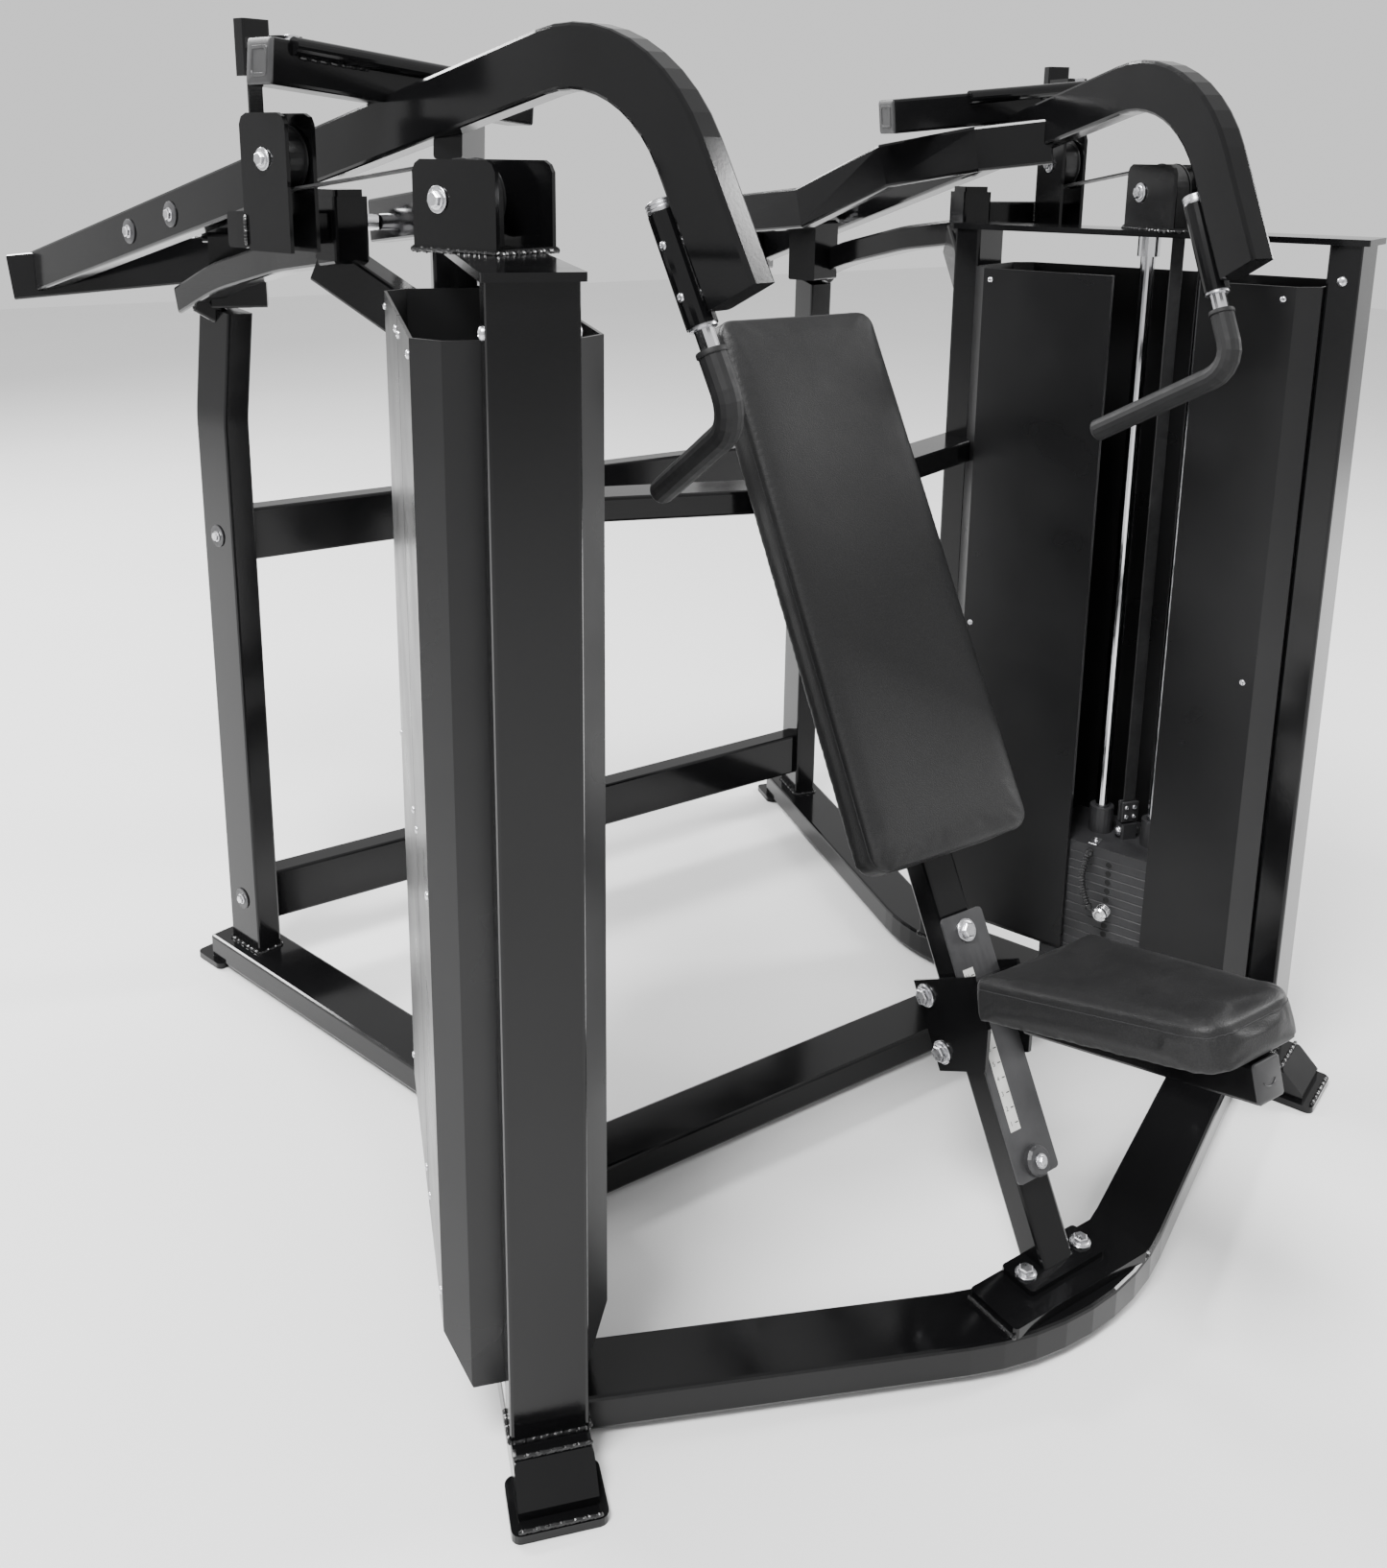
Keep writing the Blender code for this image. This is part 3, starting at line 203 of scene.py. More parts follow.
class Side:
    """One side of the machine, with places on it drawn at +X and mirrored where needed."""

    def __init__(self, name, sign):
        self.name = name
        self.sign = sign

    def node(self, piece):
        return f"{self.name}_{piece}"

    def at(self, point):
        return Vector((point[0] * self.sign, point[1] + FRAME_SHIFT, point[2]))

    def way(self, direction):
        return Vector((direction[0] * self.sign, direction[1], direction[2]))

    def tower(self, along, across, height):
        spot = TOWER_START + ALONG * along + ACROSS * across
        return self.at((spot.x, spot.y, height))

    def arm(self, along, height, across=0.0):
        spot = ARM_ORIGIN + ARM_ALONG * along + ARM_ACROSS * across
        return self.at((spot.x, spot.y, height))

    def pulley(self, centre, along, across, height):
        spot = centre + BELT_ALONG * along + BELT_ACROSS * across
        return self.at((spot.x, spot.y, height))


SIDES = (Side("right", -1), Side("left", 1))
MIDDLE = Side("middle", 1)


def post(along, off, across=0.0):
    """A place on the seat post: up it, off its front face, and across it."""
    return MIDDLE.at(POST_BASE + POST_U * along + POST_N * off + RIGHT_WAY * across)


# ------------------------------------------------------------------ node materials


class Shader:
    """A material under construction, with short helpers for its node tree."""

    def __init__(self, name):
        self.material = bpy.data.materials.new(name)
        self.material.use_nodes = True
        self.tree = self.material.node_tree
        self.surface = self.tree.nodes["Principled BSDF"]
        coordinates = self.node("ShaderNodeTexCoord")
        self.place = coordinates.outputs["Object"]

    def node(self, kind, **settings):
        made = self.tree.nodes.new(kind)
        for key, value in settings.items():
            setattr(made, key, value)
        return made

    def link(self, source, target):
        self.tree.links.new(source, target)

    def set(self, **values):
        for key, value in values.items():
            self.surface.inputs[key.replace("_", " ")].default_value = value

    def noise(self, scale, detail=3.0):
        made = self.node("ShaderNodeTexNoise")
        made.inputs["Scale"].default_value = scale
        made.inputs["Detail"].default_value = detail
        self.link(self.place, made.inputs["Vector"])
        return made.outputs["Fac"]

    def cells(self, scale):
        made = self.node("ShaderNodeTexVoronoi")
        made.inputs["Scale"].default_value = scale
        self.link(self.place, made.inputs["Vector"])
        return made.outputs["Distance"]

    def ramp(self, source, low, high, start=0.3, end=0.7):
        """Maps a factor to a range of values."""
        made = self.node("ShaderNodeMapRange")
        made.inputs["From Min"].default_value = start
        made.inputs["From Max"].default_value = end
        made.inputs["To Min"].default_value = low
        made.inputs["To Max"].default_value = high
        self.link(source, made.inputs["Value"])
        return made.outputs["Result"]

    def mix_colour(self, source, first, second):
        made = self.node("ShaderNodeMix", data_type="RGBA")
        made.inputs["A"].default_value = (*first, 1)
        made.inputs["B"].default_value = (*second, 1)
        self.link(source, made.inputs["Factor"])
        return made.outputs["Result"]

    def colour(self, first, second, scale, detail=4.0):
        factor = self.ramp(self.noise(scale, detail), 0, 1)
        self.link(self.mix_colour(factor, first, second), self.surface.inputs["Base Color"])

    def roughness(self, low, high, scale):
        self.link(self.ramp(self.noise(scale), low, high), self.surface.inputs["Roughness"])

    def bump(self, source, strength, distance):
        made = self.node("ShaderNodeBump")
        made.inputs["Strength"].default_value = strength
        made.inputs["Distance"].default_value = distance
        self.link(source, made.inputs["Height"])
        current = self.surface.inputs["Normal"]
        if current.is_linked:
            self.link(current.links[0].from_socket, made.inputs["Normal"])
        self.link(made.outputs["Normal"], current)


def paint_gloss():
    """Gloss black powder coat with a slight orange peel."""
    shader = Shader("paint_gloss")
    shader.colour((0.0022, 0.0022, 0.0024), (0.0045, 0.0045, 0.0048), 3.0)
    shader.roughness(0.09, 0.17, 9.0)
    shader.bump(shader.noise(240, 2.0), 0.10, 0.0003)
    shader.set(Specular_IOR_Level=0.26)
    return shader.material


def paint_satin():
    shader = Shader("paint_satin")
    shader.colour((0.0045, 0.0045, 0.0048), (0.0080, 0.0080, 0.0084), 2.5)
    shader.roughness(0.26, 0.36, 7.0)
    shader.bump(shader.noise(420, 2.0), 0.10, 0.0003)
    shader.set(Specular_IOR_Level=0.30)
    return shader.material


def chrome():
    shader = Shader("chrome")
    shader.colour((0.62, 0.62, 0.64), (0.72, 0.72, 0.74), 12.0)
    shader.roughness(0.08, 0.16, 30.0)
    shader.set(Metallic=1.0)
    return shader.material


def zinc():
    """Plated fasteners."""
    shader = Shader("zinc")
    shader.colour((0.52, 0.52, 0.54), (0.70, 0.70, 0.72), 90.0)
    shader.roughness(0.22, 0.36, 120.0)
    shader.bump(shader.noise(900, 2.0), 0.15, 0.0002)
    shader.set(Metallic=1.0)
    return shader.material


def washer_black():
    shader = Shader("washer_black")
    shader.colour((0.020, 0.020, 0.022), (0.040, 0.040, 0.042), 60.0)
    shader.roughness(0.35, 0.50, 80.0)
    return shader.material


def weld_bead():
    """Painted over weld ripples, glossier and more uneven than the tube."""
    shader = Shader("weld_bead")
    shader.colour((0.0040, 0.0040, 0.0043), (0.0100, 0.0100, 0.0105), 160.0)
    shader.roughness(0.08, 0.18, 200.0)
    shader.bump(shader.noise(700, 3.0), 0.30, 0.0004)
    return shader.material


def stack_iron():
    """Painted plates with a fine cast grain."""
    shader = Shader("stack_iron")
    shader.colour((0.016, 0.016, 0.017), (0.028, 0.028, 0.030), 14.0)
    shader.roughness(0.38, 0.55, 40.0)
    shader.bump(shader.noise(600, 4.0), 0.25, 0.0004)
    return shader.material


def slide_satin():
    """Grey plate brushed along its length."""
    shader = Shader("slide_satin")
    stretched = shader.node("ShaderNodeMapping")
    stretched.inputs["Scale"].default_value = (260, 12, 12)
    shader.link(shader.place, stretched.inputs["Vector"])
    grain = shader.node("ShaderNodeTexNoise")
    grain.inputs["Scale"].default_value = 1.5
    shader.link(stretched.outputs["Vector"], grain.inputs["Vector"])
    shader.colour((0.038, 0.038, 0.040), (0.056, 0.056, 0.058), 20.0)
    shader.link(shader.ramp(grain.outputs["Fac"], 0.34, 0.48),
                shader.surface.inputs["Roughness"])
    shader.set(Metallic=0.35)
    return shader.material


def rubber():
    shader = Shader("rubber")
    shader.colour((0.0050, 0.0050, 0.0054), (0.0095, 0.0095, 0.0100), 30.0)
    shader.roughness(0.58, 0.72, 60.0)
    shader.bump(shader.noise(1400, 3.0), 0.30, 0.0003)
    shader.set(Specular_IOR_Level=0.32)
    return shader.material


def vinyl():
    """Grained upholstery vinyl: small cells with worn ridges."""
    shader = Shader("vinyl")
    cells = shader.cells(520)
    shade = shader.ramp(cells, 0, 1, 0.1, 0.7)
    mixed = shader.mix_colour(shade, (0.0035, 0.0035, 0.0038), (0.0100, 0.0100, 0.0104))
    shader.link(mixed, shader.surface.inputs["Base Color"])
    shader.roughness(0.46, 0.58, 14.0)
    shader.bump(cells, 0.45, 0.0005)
    shader.bump(shader.noise(18, 3.0), 0.15, 0.004)
    shader.set(Specular_IOR_Level=0.34)
    return shader.material


def thread():
    shader = Shader("thread")
    shader.colour((0.006, 0.006, 0.007), (0.014, 0.014, 0.015), 400.0)
    shader.roughness(0.70, 0.85, 300.0)
    shader.bump(shader.noise(1500, 2.0), 0.5, 0.0004)
    return shader.material


def belt_weave():
    """Black belt with fine cross ribs."""
    shader = Shader("belt_weave")
    shader.colour((0.0060, 0.0060, 0.0064), (0.0110, 0.0110, 0.0115), 50.0)
    shader.roughness(0.50, 0.66, 90.0)
    ribs = shader.node("ShaderNodeTexWave", bands_direction="Z")
    ribs.inputs["Scale"].default_value = 160
    ribs.inputs["Distortion"].default_value = 0.6
    shader.link(shader.place, ribs.inputs["Vector"])
    shader.bump(ribs.outputs["Fac"], 0.35, 0.0004)
    return shader.material


def plastic_black():
    shader = Shader("plastic_black")
    shader.colour((0.0070, 0.0070, 0.0074), (0.0120, 0.0120, 0.0125), 18.0)
    shader.roughness(0.32, 0.44, 25.0)
    shader.bump(shader.noise(1100, 2.0), 0.20, 0.0002)
    return shader.material


def cap_grey():
    """Moulded end caps, a little paler than the paint."""
    shader = Shader("cap_grey")
    shader.colour((0.016, 0.016, 0.017), (0.024, 0.024, 0.025), 22.0)
    shader.roughness(0.40, 0.52, 30.0)
    shader.bump(shader.noise(1200, 2.0), 0.25, 0.0002)
    return shader.material


def knob_silver():
    """The pins' bright knobs."""
    shader = Shader("knob_silver")
    shader.colour((0.66, 0.66, 0.67), (0.80, 0.80, 0.81), 60.0)
    shader.roughness(0.18, 0.30, 90.0)
    shader.set(Metallic=1.0)
    return shader.material


# Near black: painted shade for the depth of the pin holes, used on the plugs that stand in them.
def painted_hole_shade():
    shader = Shader("painted_hole_shade")
    shader.colour((0.002, 0.002, 0.002), (0.004, 0.004, 0.004), 60.0)
    shader.roughness(0.75, 0.90, 60.0)
    return shader.material


def label_pale():
    shader = Shader("label_pale")
    shader.colour((0.50, 0.50, 0.48), (0.60, 0.60, 0.58), 35.0)
    shader.roughness(0.42, 0.55, 50.0)
    return shader.material


def label_ink():
    shader = Shader("label_ink")
    shader.colour((0.015, 0.015, 0.016), (0.030, 0.030, 0.030), 200.0)
    shader.roughness(0.55, 0.65, 90.0)
    return shader.material


def studio_white():
    shader = Shader("studio_white")
    shader.colour((0.80, 0.80, 0.80), (0.82, 0.82, 0.82), 0.6)
    shader.roughness(0.55, 0.65, 1.5)
    return shader.material


# ------------------------------------------------------------------ mesh helpers


class Batch:
    """Many small solids gathered into one object of one material."""

    def __init__(self, name):
        self.name = name
        self.work = bmesh.new()

    def rings(self, rings, closed=True):
        count = len(rings[0])
        levels = [[self.work.verts.new(point) for point in ring] for ring in rings]
        for lower, upper in zip(levels, levels[1:]):
            for place in range(count):
                step = (place + 1) % count
                self.work.faces.new((lower[place], lower[step], upper[step], upper[place]))
        if closed:
            self.work.faces.new(levels[0][::-1])
            self.work.faces.new(levels[-1])

    def finish(self, material, body, smooth=35):
        bmesh.ops.recalc_face_normals(self.work, faces=self.work.faces)
        mesh = bpy.data.meshes.new(self.name)
        self.work.to_mesh(mesh)
        self.work.free()
        mesh.shade_smooth()
        mesh.set_sharp_from_angle(angle=math.radians(smooth))
        made = bpy.data.objects.new(self.name, mesh)
        bpy.context.scene.collection.objects.link(made)
        made.data.materials.append(material)
        if body:
            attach(made, body)
        return made


def circle(centre, normal, radius, steps, turn=0.0):
    normal = Vector(normal).normalized()
    first = normal.orthogonal().normalized()
    second = normal.cross(first)
    turns = [turn + 2 * math.pi * step / steps for step in range(steps)]
    return [centre + first * radius * math.cos(a) + second * radius * math.sin(a) for a in turns]


def ring_round(point, ahead, upward, radius, steps):
    """A ring about one point of a path, square to the way ahead."""
    side = ahead.cross(upward).normalized()
    rise = side.cross(ahead)
    turns = [2 * math.pi * step / steps for step in range(steps)]
    return [point + (side * math.cos(turn) + rise * math.sin(turn)) * radius for turn in turns]


class Trim:
    """The fasteners, welds and mouldings of one body, gathered by material."""

    def __init__(self, body):
        self.body = body
        self.batches = {}

    def batch(self, look):
        if look not in self.batches:
            self.batches[look] = Batch(f"{self.body}_{look}_trim")
        return self.batches[look]

    def finish(self, looks):
        for look, batch in self.batches.items():
            batch.finish(looks[look], self.body)

    def bolt(self, face, normal, size=0.0095, washer=0.019, washer_look="washer"):
        """A chamfered hexagon head with its flange, on a flat washer."""
        normal = Vector(normal).normalized()
        thick = 0.0028
        edge = 0.0006
        lathe(self.batch(washer_look), face, normal,
              [(0, washer * 0.98), (edge, washer), (thick - edge, washer),
               (thick, washer * 0.96)], 32)
        seat = face + normal * thick
        heads = self.batch("zinc")
        high = size * 0.75
        heads.rings([
            circle(seat, normal, size * 1.02, 6),
            circle(seat + normal * high * 0.82, normal, size * 1.02, 6),
            circle(seat + normal * high, normal, size * 0.86, 6),
        ])
        lathe(heads, seat, normal, [(0, size * 1.18), (0.0012, size * 1.22), (0.0018, size * 1.1)])

    def screw(self, face, normal, size=0.0055):
        """A low domed head with a socket."""
        profile = [(0, 1.0), (0.25, 0.97), (0.45, 0.80), (0.55, 0.50), (0.30, 0.42), (0.28, 0.05)]
        lathe(self.batch("zinc"), face, normal,
              [(along * size, radius * size) for along, radius in profile], 18)

    def weld(self, points, radius=0.0034, pitch=0.0042):
        """A bead of overlapping ripples along a line."""
        for start, end in zip(points, points[1:]):
            steps = max(3, int((end - start).length / pitch * 2))
            direction = (end - start).normalized()
            rings = []
            for step in range(steps + 1):
                spot = start + (end - start) * (step / steps)
                swell = radius * (1.0 if step % 2 else 0.78)
                if step in (0, steps):
                    swell = radius * 0.45
                wander = 0.0005 * math.sin(step * 2.3) + 0.0004 * math.sin(step * 0.9)
                rings.append(circle(spot + UP * wander, direction, swell, 8))
            self.batch("weld").rings(rings)

    def weld_round(self, centre, first, second, half_first, half_second):
        corners = [(1, 1), (-1, 1), (-1, -1), (1, -1), (1, 1)]
        self.weld([centre + first * half_first * x + second * half_second * y
                   for x, y in corners])

    def cap(self, centre, normal, first, width, height, emboss=True):
        """A moulded plug in a tube's end, with a raised square on it."""
        normal = Vector(normal).normalized()
        first = (first - normal * first.dot(normal)).normalized()
        second = normal.cross(first)
        thick = 0.004
        layers = [(0.0, 0.0004), (thick * 0.6, 0.0004), (thick, 0.0026)]
        if emboss:
            layers += [(thick, 0.010), (thick + 0.0012, 0.011), (thick + 0.0012, 0.014),
                       (thick, 0.015)]
        rings = []
        for along, inset in layers:
            outline = box_outline(width - 2 * inset, height - 2 * inset, 0.0045)
            rings.append([centre + normal * along + first * x + second * y for x, y in outline])
        self.batch("cap").rings(rings)

    def block(self, look, low, sides, bevel=0.0012):
        """A box with bevelled ends, from its low face's centre and three side vectors."""
        first, second, rise = sides
        step = rise.normalized() * bevel
        widths = (first.length / 2, second.length / 2)
        ways = (first.normalized(), second.normalized())
        rings = []
        for along, inset in ((Vector(), bevel), (step, 0), (rise - step, 0), (rise, bevel)):
            outline = box_outline(2 * (widths[0] - inset), 2 * (widths[1] - inset), bevel, 3)
            rings.append([low + along + ways[0] * x + ways[1] * y for x, y in outline])
        self.batch(look).rings(rings)


def lathe(batch, base, axis, profile, steps=24):
    axis = Vector(axis).normalized()
    batch.rings([circle(base + axis * along, axis, radius, steps) for along, radius in profile])


def box_outline(width, height, corner, steps=6):
    outline = []
    for quarter in range(4):
        sign_x = 1 if quarter in (0, 3) else -1
        sign_y = 1 if quarter in (0, 1) else -1
        for step in range(steps + 1):
            angle = math.pi / 2 * (quarter + step / steps)
            outline.append((sign_x * (width / 2 - corner) + corner * math.cos(angle),
                            sign_y * (height / 2 - corner) + corner * math.sin(angle)))
    return outline


# ------------------------------------------------------------------ camera, light and floor


def add_object(name, data):
    made = bpy.data.objects.new(name, data)
    bpy.context.scene.collection.objects.link(made)
    return made


def camera():
    made = add_object("camera", bpy.data.cameras.new("camera"))
    heading = Matrix.Rotation(-CAMERA_YAW, 4, "Z")
    looking = heading @ Matrix.Rotation(math.pi / 2 - CAMERA_PITCH, 4, "X")
    made.rotation_mode = "QUATERNION"
    made.rotation_quaternion = (looking @ Matrix.Rotation(CAMERA_ROLL, 4, "Z")).to_quaternion()
    made.location = CAMERA_PLACE
    made.data.sensor_width = 36.0
    made.data.lens = CAMERA_LENS
    made.data.shift_y = CAMERA_SHIFT
    bpy.context.scene.camera = made


def area_light(name, place, target, size, power):
    data = bpy.data.lights.new(name, "AREA")
    data.shape = "RECTANGLE"
    data.size, data.size_y = size
    data.energy = power
    made = add_object(name, data)
    made.location = place
    made.rotation_mode = "QUATERNION"
    made.rotation_quaternion = (target - place).to_track_quat("-Z", "Y")


def studio():
    """A pale floor under a soft sky, with large lamps for the gloss to catch."""
    world = bpy.data.worlds.new("studio")
    world.use_nodes = True
    background = world.node_tree.nodes["Background"]
    background.inputs["Color"].default_value = (1.0, 1.0, 1.0, 1)
    background.inputs["Strength"].default_value = 0.95
    bpy.context.scene.world = world
    target = (cad_low + cad_high) / 2
    reach = (cad_high - cad_low).length
    area_light("key", target + Vector((-0.9, -0.5, 1.5)) * reach, target, (2.0, 2.0), 760)
    area_light("fill", target + Vector((1.5, -0.5, 0.7)) * reach, target, (1.0, 3.4), 360)
    area_light("rim", target + Vector((-0.6, 1.5, 1.0)) * reach, target, (3.4, 1.0), 640)
    half = 14.0
    floor = add_object("floor", bpy.data.meshes.new("floor"))
    floor.data.from_pydata(
        [(-half, -half, 0), (half, -half, 0), (half, half, 0), (-half, half, 0)], [],
        [(0, 1, 2, 3)],
    )
    floor.location.z = cad_low.z - 0.0005
    floor.data.materials.append(studio_white())


# ------------------------------------------------------------------ CAD nodes


def dress_nodes(looks):
    """Gives each CAD node the look of its material slot."""
    for part in frame["record"]["subparts"]:
        mesh = frame["nodes"][part["node"]].data
        mesh.materials.clear()
        mesh.materials.append(looks[part["material_slot"]])
        mesh.polygons.foreach_set("material_index", [0] * len(mesh.polygons))


# ------------------------------------------------------------------ pads


class Pad:
    """A board-backed cushion: its outline in its own plane, and where that plane lies."""

    def __init__(self, name, body, outline, middle, second, normal, thick, voxel):
        self.name = name
        self.body = body
        self.outline = outline
        self.middle = middle
        self.second = second
        self.normal = normal
        self.thick = thick
        self.voxel = voxel

    def at(self, x, y, height):
        return self.middle + RIGHT_WAY * x + self.second * y + self.normal * height

    def ring(self, inset, height):
        return [self.at(x, y, height) for x, y in self.outline(inset)]


def pad_blank(pad):
    """The cushion's firm shape, a little under size: square at the board and rolled on top."""
    top = pad.thick - 0.002 - PAD_SHRINK
    layers = [(PAD_SHRINK + 0.002, 0.0), (PAD_SHRINK, 0.002), (PAD_SHRINK, top - PAD_ROLL)]
    for step in range(1, 7):
        turn = math.pi / 2 * step / 6
        layers.append((PAD_SHRINK + PAD_ROLL * (1 - math.cos(turn)),
                       top - PAD_ROLL + PAD_ROLL * math.sin(turn)))
    layers.append((PAD_SHRINK + PAD_ROLL + 0.045, top + 0.0012))
    batch = Batch(pad.name + "_cover")
    batch.rings([pad.ring(inset, height) for inset, height in layers])
    return batch


def swell(pad, made):
    """Remeshes the blank and blows it up a little as cloth held at the board."""
    remesh = made.modifiers.new("remesh", "REMESH")
    remesh.mode = "VOXEL"
    remesh.voxel_size = pad.voxel
    bake(made)
    rest = points_of(made)
    heights = (rest - np.array(pad.middle)) @ np.array(pad.normal)
    held = made.vertex_groups.new(name="board")
    held.add([int(index) for index in np.flatnonzero(heights < 0.006)], 1.0, "REPLACE")
    cloth = made.modifiers.new("cloth", "CLOTH")
    cloth.settings.vertex_group_mass = "board"
    cloth.settings.use_pressure = True
    cloth.settings.uniform_pressure_force = PAD_PRESSURE
    cloth.settings.tension_stiffness = PAD_STIFFNESS
    cloth.settings.compression_stiffness = PAD_STIFFNESS
    cloth.settings.quality = 4
    cloth.settings.effector_weights.gravity = 0
    for step in range(1, PAD_STEPS + 1):
        bpy.context.scene.frame_set(step)
    bake(made)
    bpy.context.scene.frame_set(1)
    moved = points_of(made) - rest
    far = np.linalg.norm(moved, axis=1)
    limit = np.minimum(1.0, PAD_BULGE / np.maximum(far, 1e-9))
    rest = rest + moved * limit[:, None]
    set_points(made, rest)


def bake(made):
    """Applies the object's modifiers to its mesh."""
    graph = bpy.context.evaluated_depsgraph_get()
    mesh = bpy.data.meshes.new_from_object(made.evaluated_get(graph))
    made.modifiers.clear()
    made.data = mesh


def points_of(made):
    flat = np.empty(len(made.data.vertices) * 3)
    made.data.vertices.foreach_get("co", flat)
    return flat.reshape(-1, 3)


def set_points(made, points):
    made.data.vertices.foreach_set("co", points.ravel())
    made.data.update()


def pinch_seam(pad, made, height):
    """Draws the cover in along the stitched line round its side panel."""
    depth = 0.0016
    width = 0.0042
    points = points_of(made)
    offsets = points - np.array(pad.middle)
    heights = offsets @ np.array(pad.normal)
    flat = np.stack([offsets @ np.array(RIGHT_WAY), offsets @ np.array(pad.second)], axis=1)
    edge = np.array(pad.outline(0.0))
    inward = -flat / np.linalg.norm(flat, axis=1)[:, None]
    gaps = np.min(np.linalg.norm(flat[:, None, :] - dense(edge)[None, :, :], axis=2), axis=1)
    near = np.exp(-((heights - height) / width) ** 2) * (gaps < 0.012)
    push = depth * near
    points += (inward[:, :1] * push[:, None]) * np.array(RIGHT_WAY)
    points += (inward[:, 1:] * push[:, None]) * np.array(pad.second)
    set_points(made, points)


def dense(edge, step=0.006):
    """Points no further apart than a step along a closed outline."""
    found = []
    for first, second in zip(edge, np.roll(edge, -1, axis=0)):
        count = max(1, int(np.linalg.norm(second - first) / step))
        for place in range(count):
            found.append(first + (second - first) * place / count)
    return np.array(found)


def make_pad(pad, looks):
    blank = pad_blank(pad)
    cover = blank.finish(looks["pad"], None, 60)
    swell(pad, cover)
    seam_height = pad.thick - PAD_SEAM_DROP
    pinch_seam(pad, cover, seam_height)
    cover.data.materials.clear()
    cover.data.materials.append(looks["pad"])
    finer = cover.modifiers.new("finer", "SUBSURF")
    finer.levels = 1
    finer.render_levels = 1
    bake(cover)
    cover.data.shade_smooth()
    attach(cover, pad.body)
    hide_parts(pad.name)
    piping(pad, cover, seam_height, looks)
    board(pad, looks)


def piping(pad, cover, height, looks):
    """A thin stitched ridge that follows the cover's own surface."""
    radius = 0.0009
    edge = dense(np.array(pad.outline(0.0)), 0.004)
    path = []
    for x, y in edge:
        found, place, normal, _ = cover.closest_point_on_mesh(pad.at(x, y, height))
        path.append(place - normal * radius * 0.2 if found else pad.at(x, y, height))
    rings = []
    for place, point in enumerate(path):
        ahead = (path[(place + 1) % len(path)] - path[place - 1]).normalized()
        rings.append(ring_round(point, ahead, pad.normal, radius, 6))
    batch = Batch(pad.name + "_seam")
    batch.rings([*rings, rings[0]], closed=False)
    batch.finish(looks["thread"], pad.body)


def board(pad, looks):
    """The covered board under the cushion, a little narrower than it."""
    batch = Batch(pad.name + "_board")
    batch.rings([pad.ring(0.014, 0.0004), pad.ring(0.012, 0.0008), pad.ring(0.012, 0.0040)])
    batch.finish(looks["cap"], pad.body)


def back_pad():
    low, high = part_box("back_pad")
    half_width = (high.x - low.x) / 2
    half_length = ((high.z - low.z) - BACK_THICK * POST_N.z) / POST_U.z / 2
    middle = (low + high) / 2 - POST_N * (BACK_THICK / 2)

    def outline(inset):
        corner = max(0.034 - inset, 0.004)
        return box_outline(2 * (half_width - inset), 2 * (half_length - inset), corner, 8)

    return Pad("back_pad", "frame", outline, middle, POST_U, POST_N, BACK_THICK, 0.0062)


def seat_pad():
    back_half, front_half = 0.123, 0.095
    low = MIDDLE.at(SEAT_BACK_TOP - SEAT_UP * SEAT_THICK)
    middle = low + SEAT_ALONG * (SEAT_LENGTH / 2)

    def outline(inset):
        points = []
        front, back = max(0.045 - inset, 0.004), max(0.016 - inset, 0.004)
        for sign, along, half, corner, start in (
            (1, -1, back_half, back, -90), (1, 1, front_half, front, 0),
            (-1, 1, front_half, front, 90), (-1, -1, back_half, back, 180),
        ):
            centre_x = sign * (half - inset - corner)
            centre_y = along * (SEAT_LENGTH / 2 - inset - corner)
            for step in range(9):
                turn = math.radians(start + 90 * step / 8)
                points.append((centre_x + corner * math.cos(turn),
                               centre_y + corner * math.sin(turn)))
        return points

    return Pad("seat_pad", "seat", outline, middle, SEAT_ALONG, SEAT_UP, SEAT_THICK, 0.0052)


# ------------------------------------------------------------------ belts and cords


def slice_mesh(source, name, planes):
    """A closed copy of a mesh, kept on the inner side of each plane (point, outward way)."""
    work = bmesh.new()
    work.from_mesh(source.data)
    for point, outward in planes:
        geometry = [*work.verts, *work.edges, *work.faces]
        bmesh.ops.bisect_plane(work, geom=geometry, plane_co=point, plane_no=outward,
                               clear_outer=True)
        bmesh.ops.holes_fill(work, edges=[edge for edge in work.edges if edge.is_boundary])
    mesh = bpy.data.meshes.new(name)
    work.to_mesh(mesh)
    work.free()
    return add_object(name, mesh)


def level_cuts(piece, count):
    """Cuts a long strip into level slices."""
    work = bmesh.new()
    work.from_mesh(piece.data)
    low = min(vert.co.z for vert in work.verts)
    high = max(vert.co.z for vert in work.verts)
    for step in range(1, count):
        level = Vector((0, 0, low + (high - low) * step / count))
        geometry = [*work.verts, *work.edges, *work.faces]
        bmesh.ops.bisect_plane(work, geom=geometry, plane_co=level, plane_no=UP)
    work.to_mesh(piece.data)
    work.free()


def belt_look(piece, looks):
    piece.data.materials.clear()
    piece.data.materials.append(looks["belt"])
    piece.data.shade_smooth()
    piece.data.set_sharp_from_angle(angle=math.radians(35))


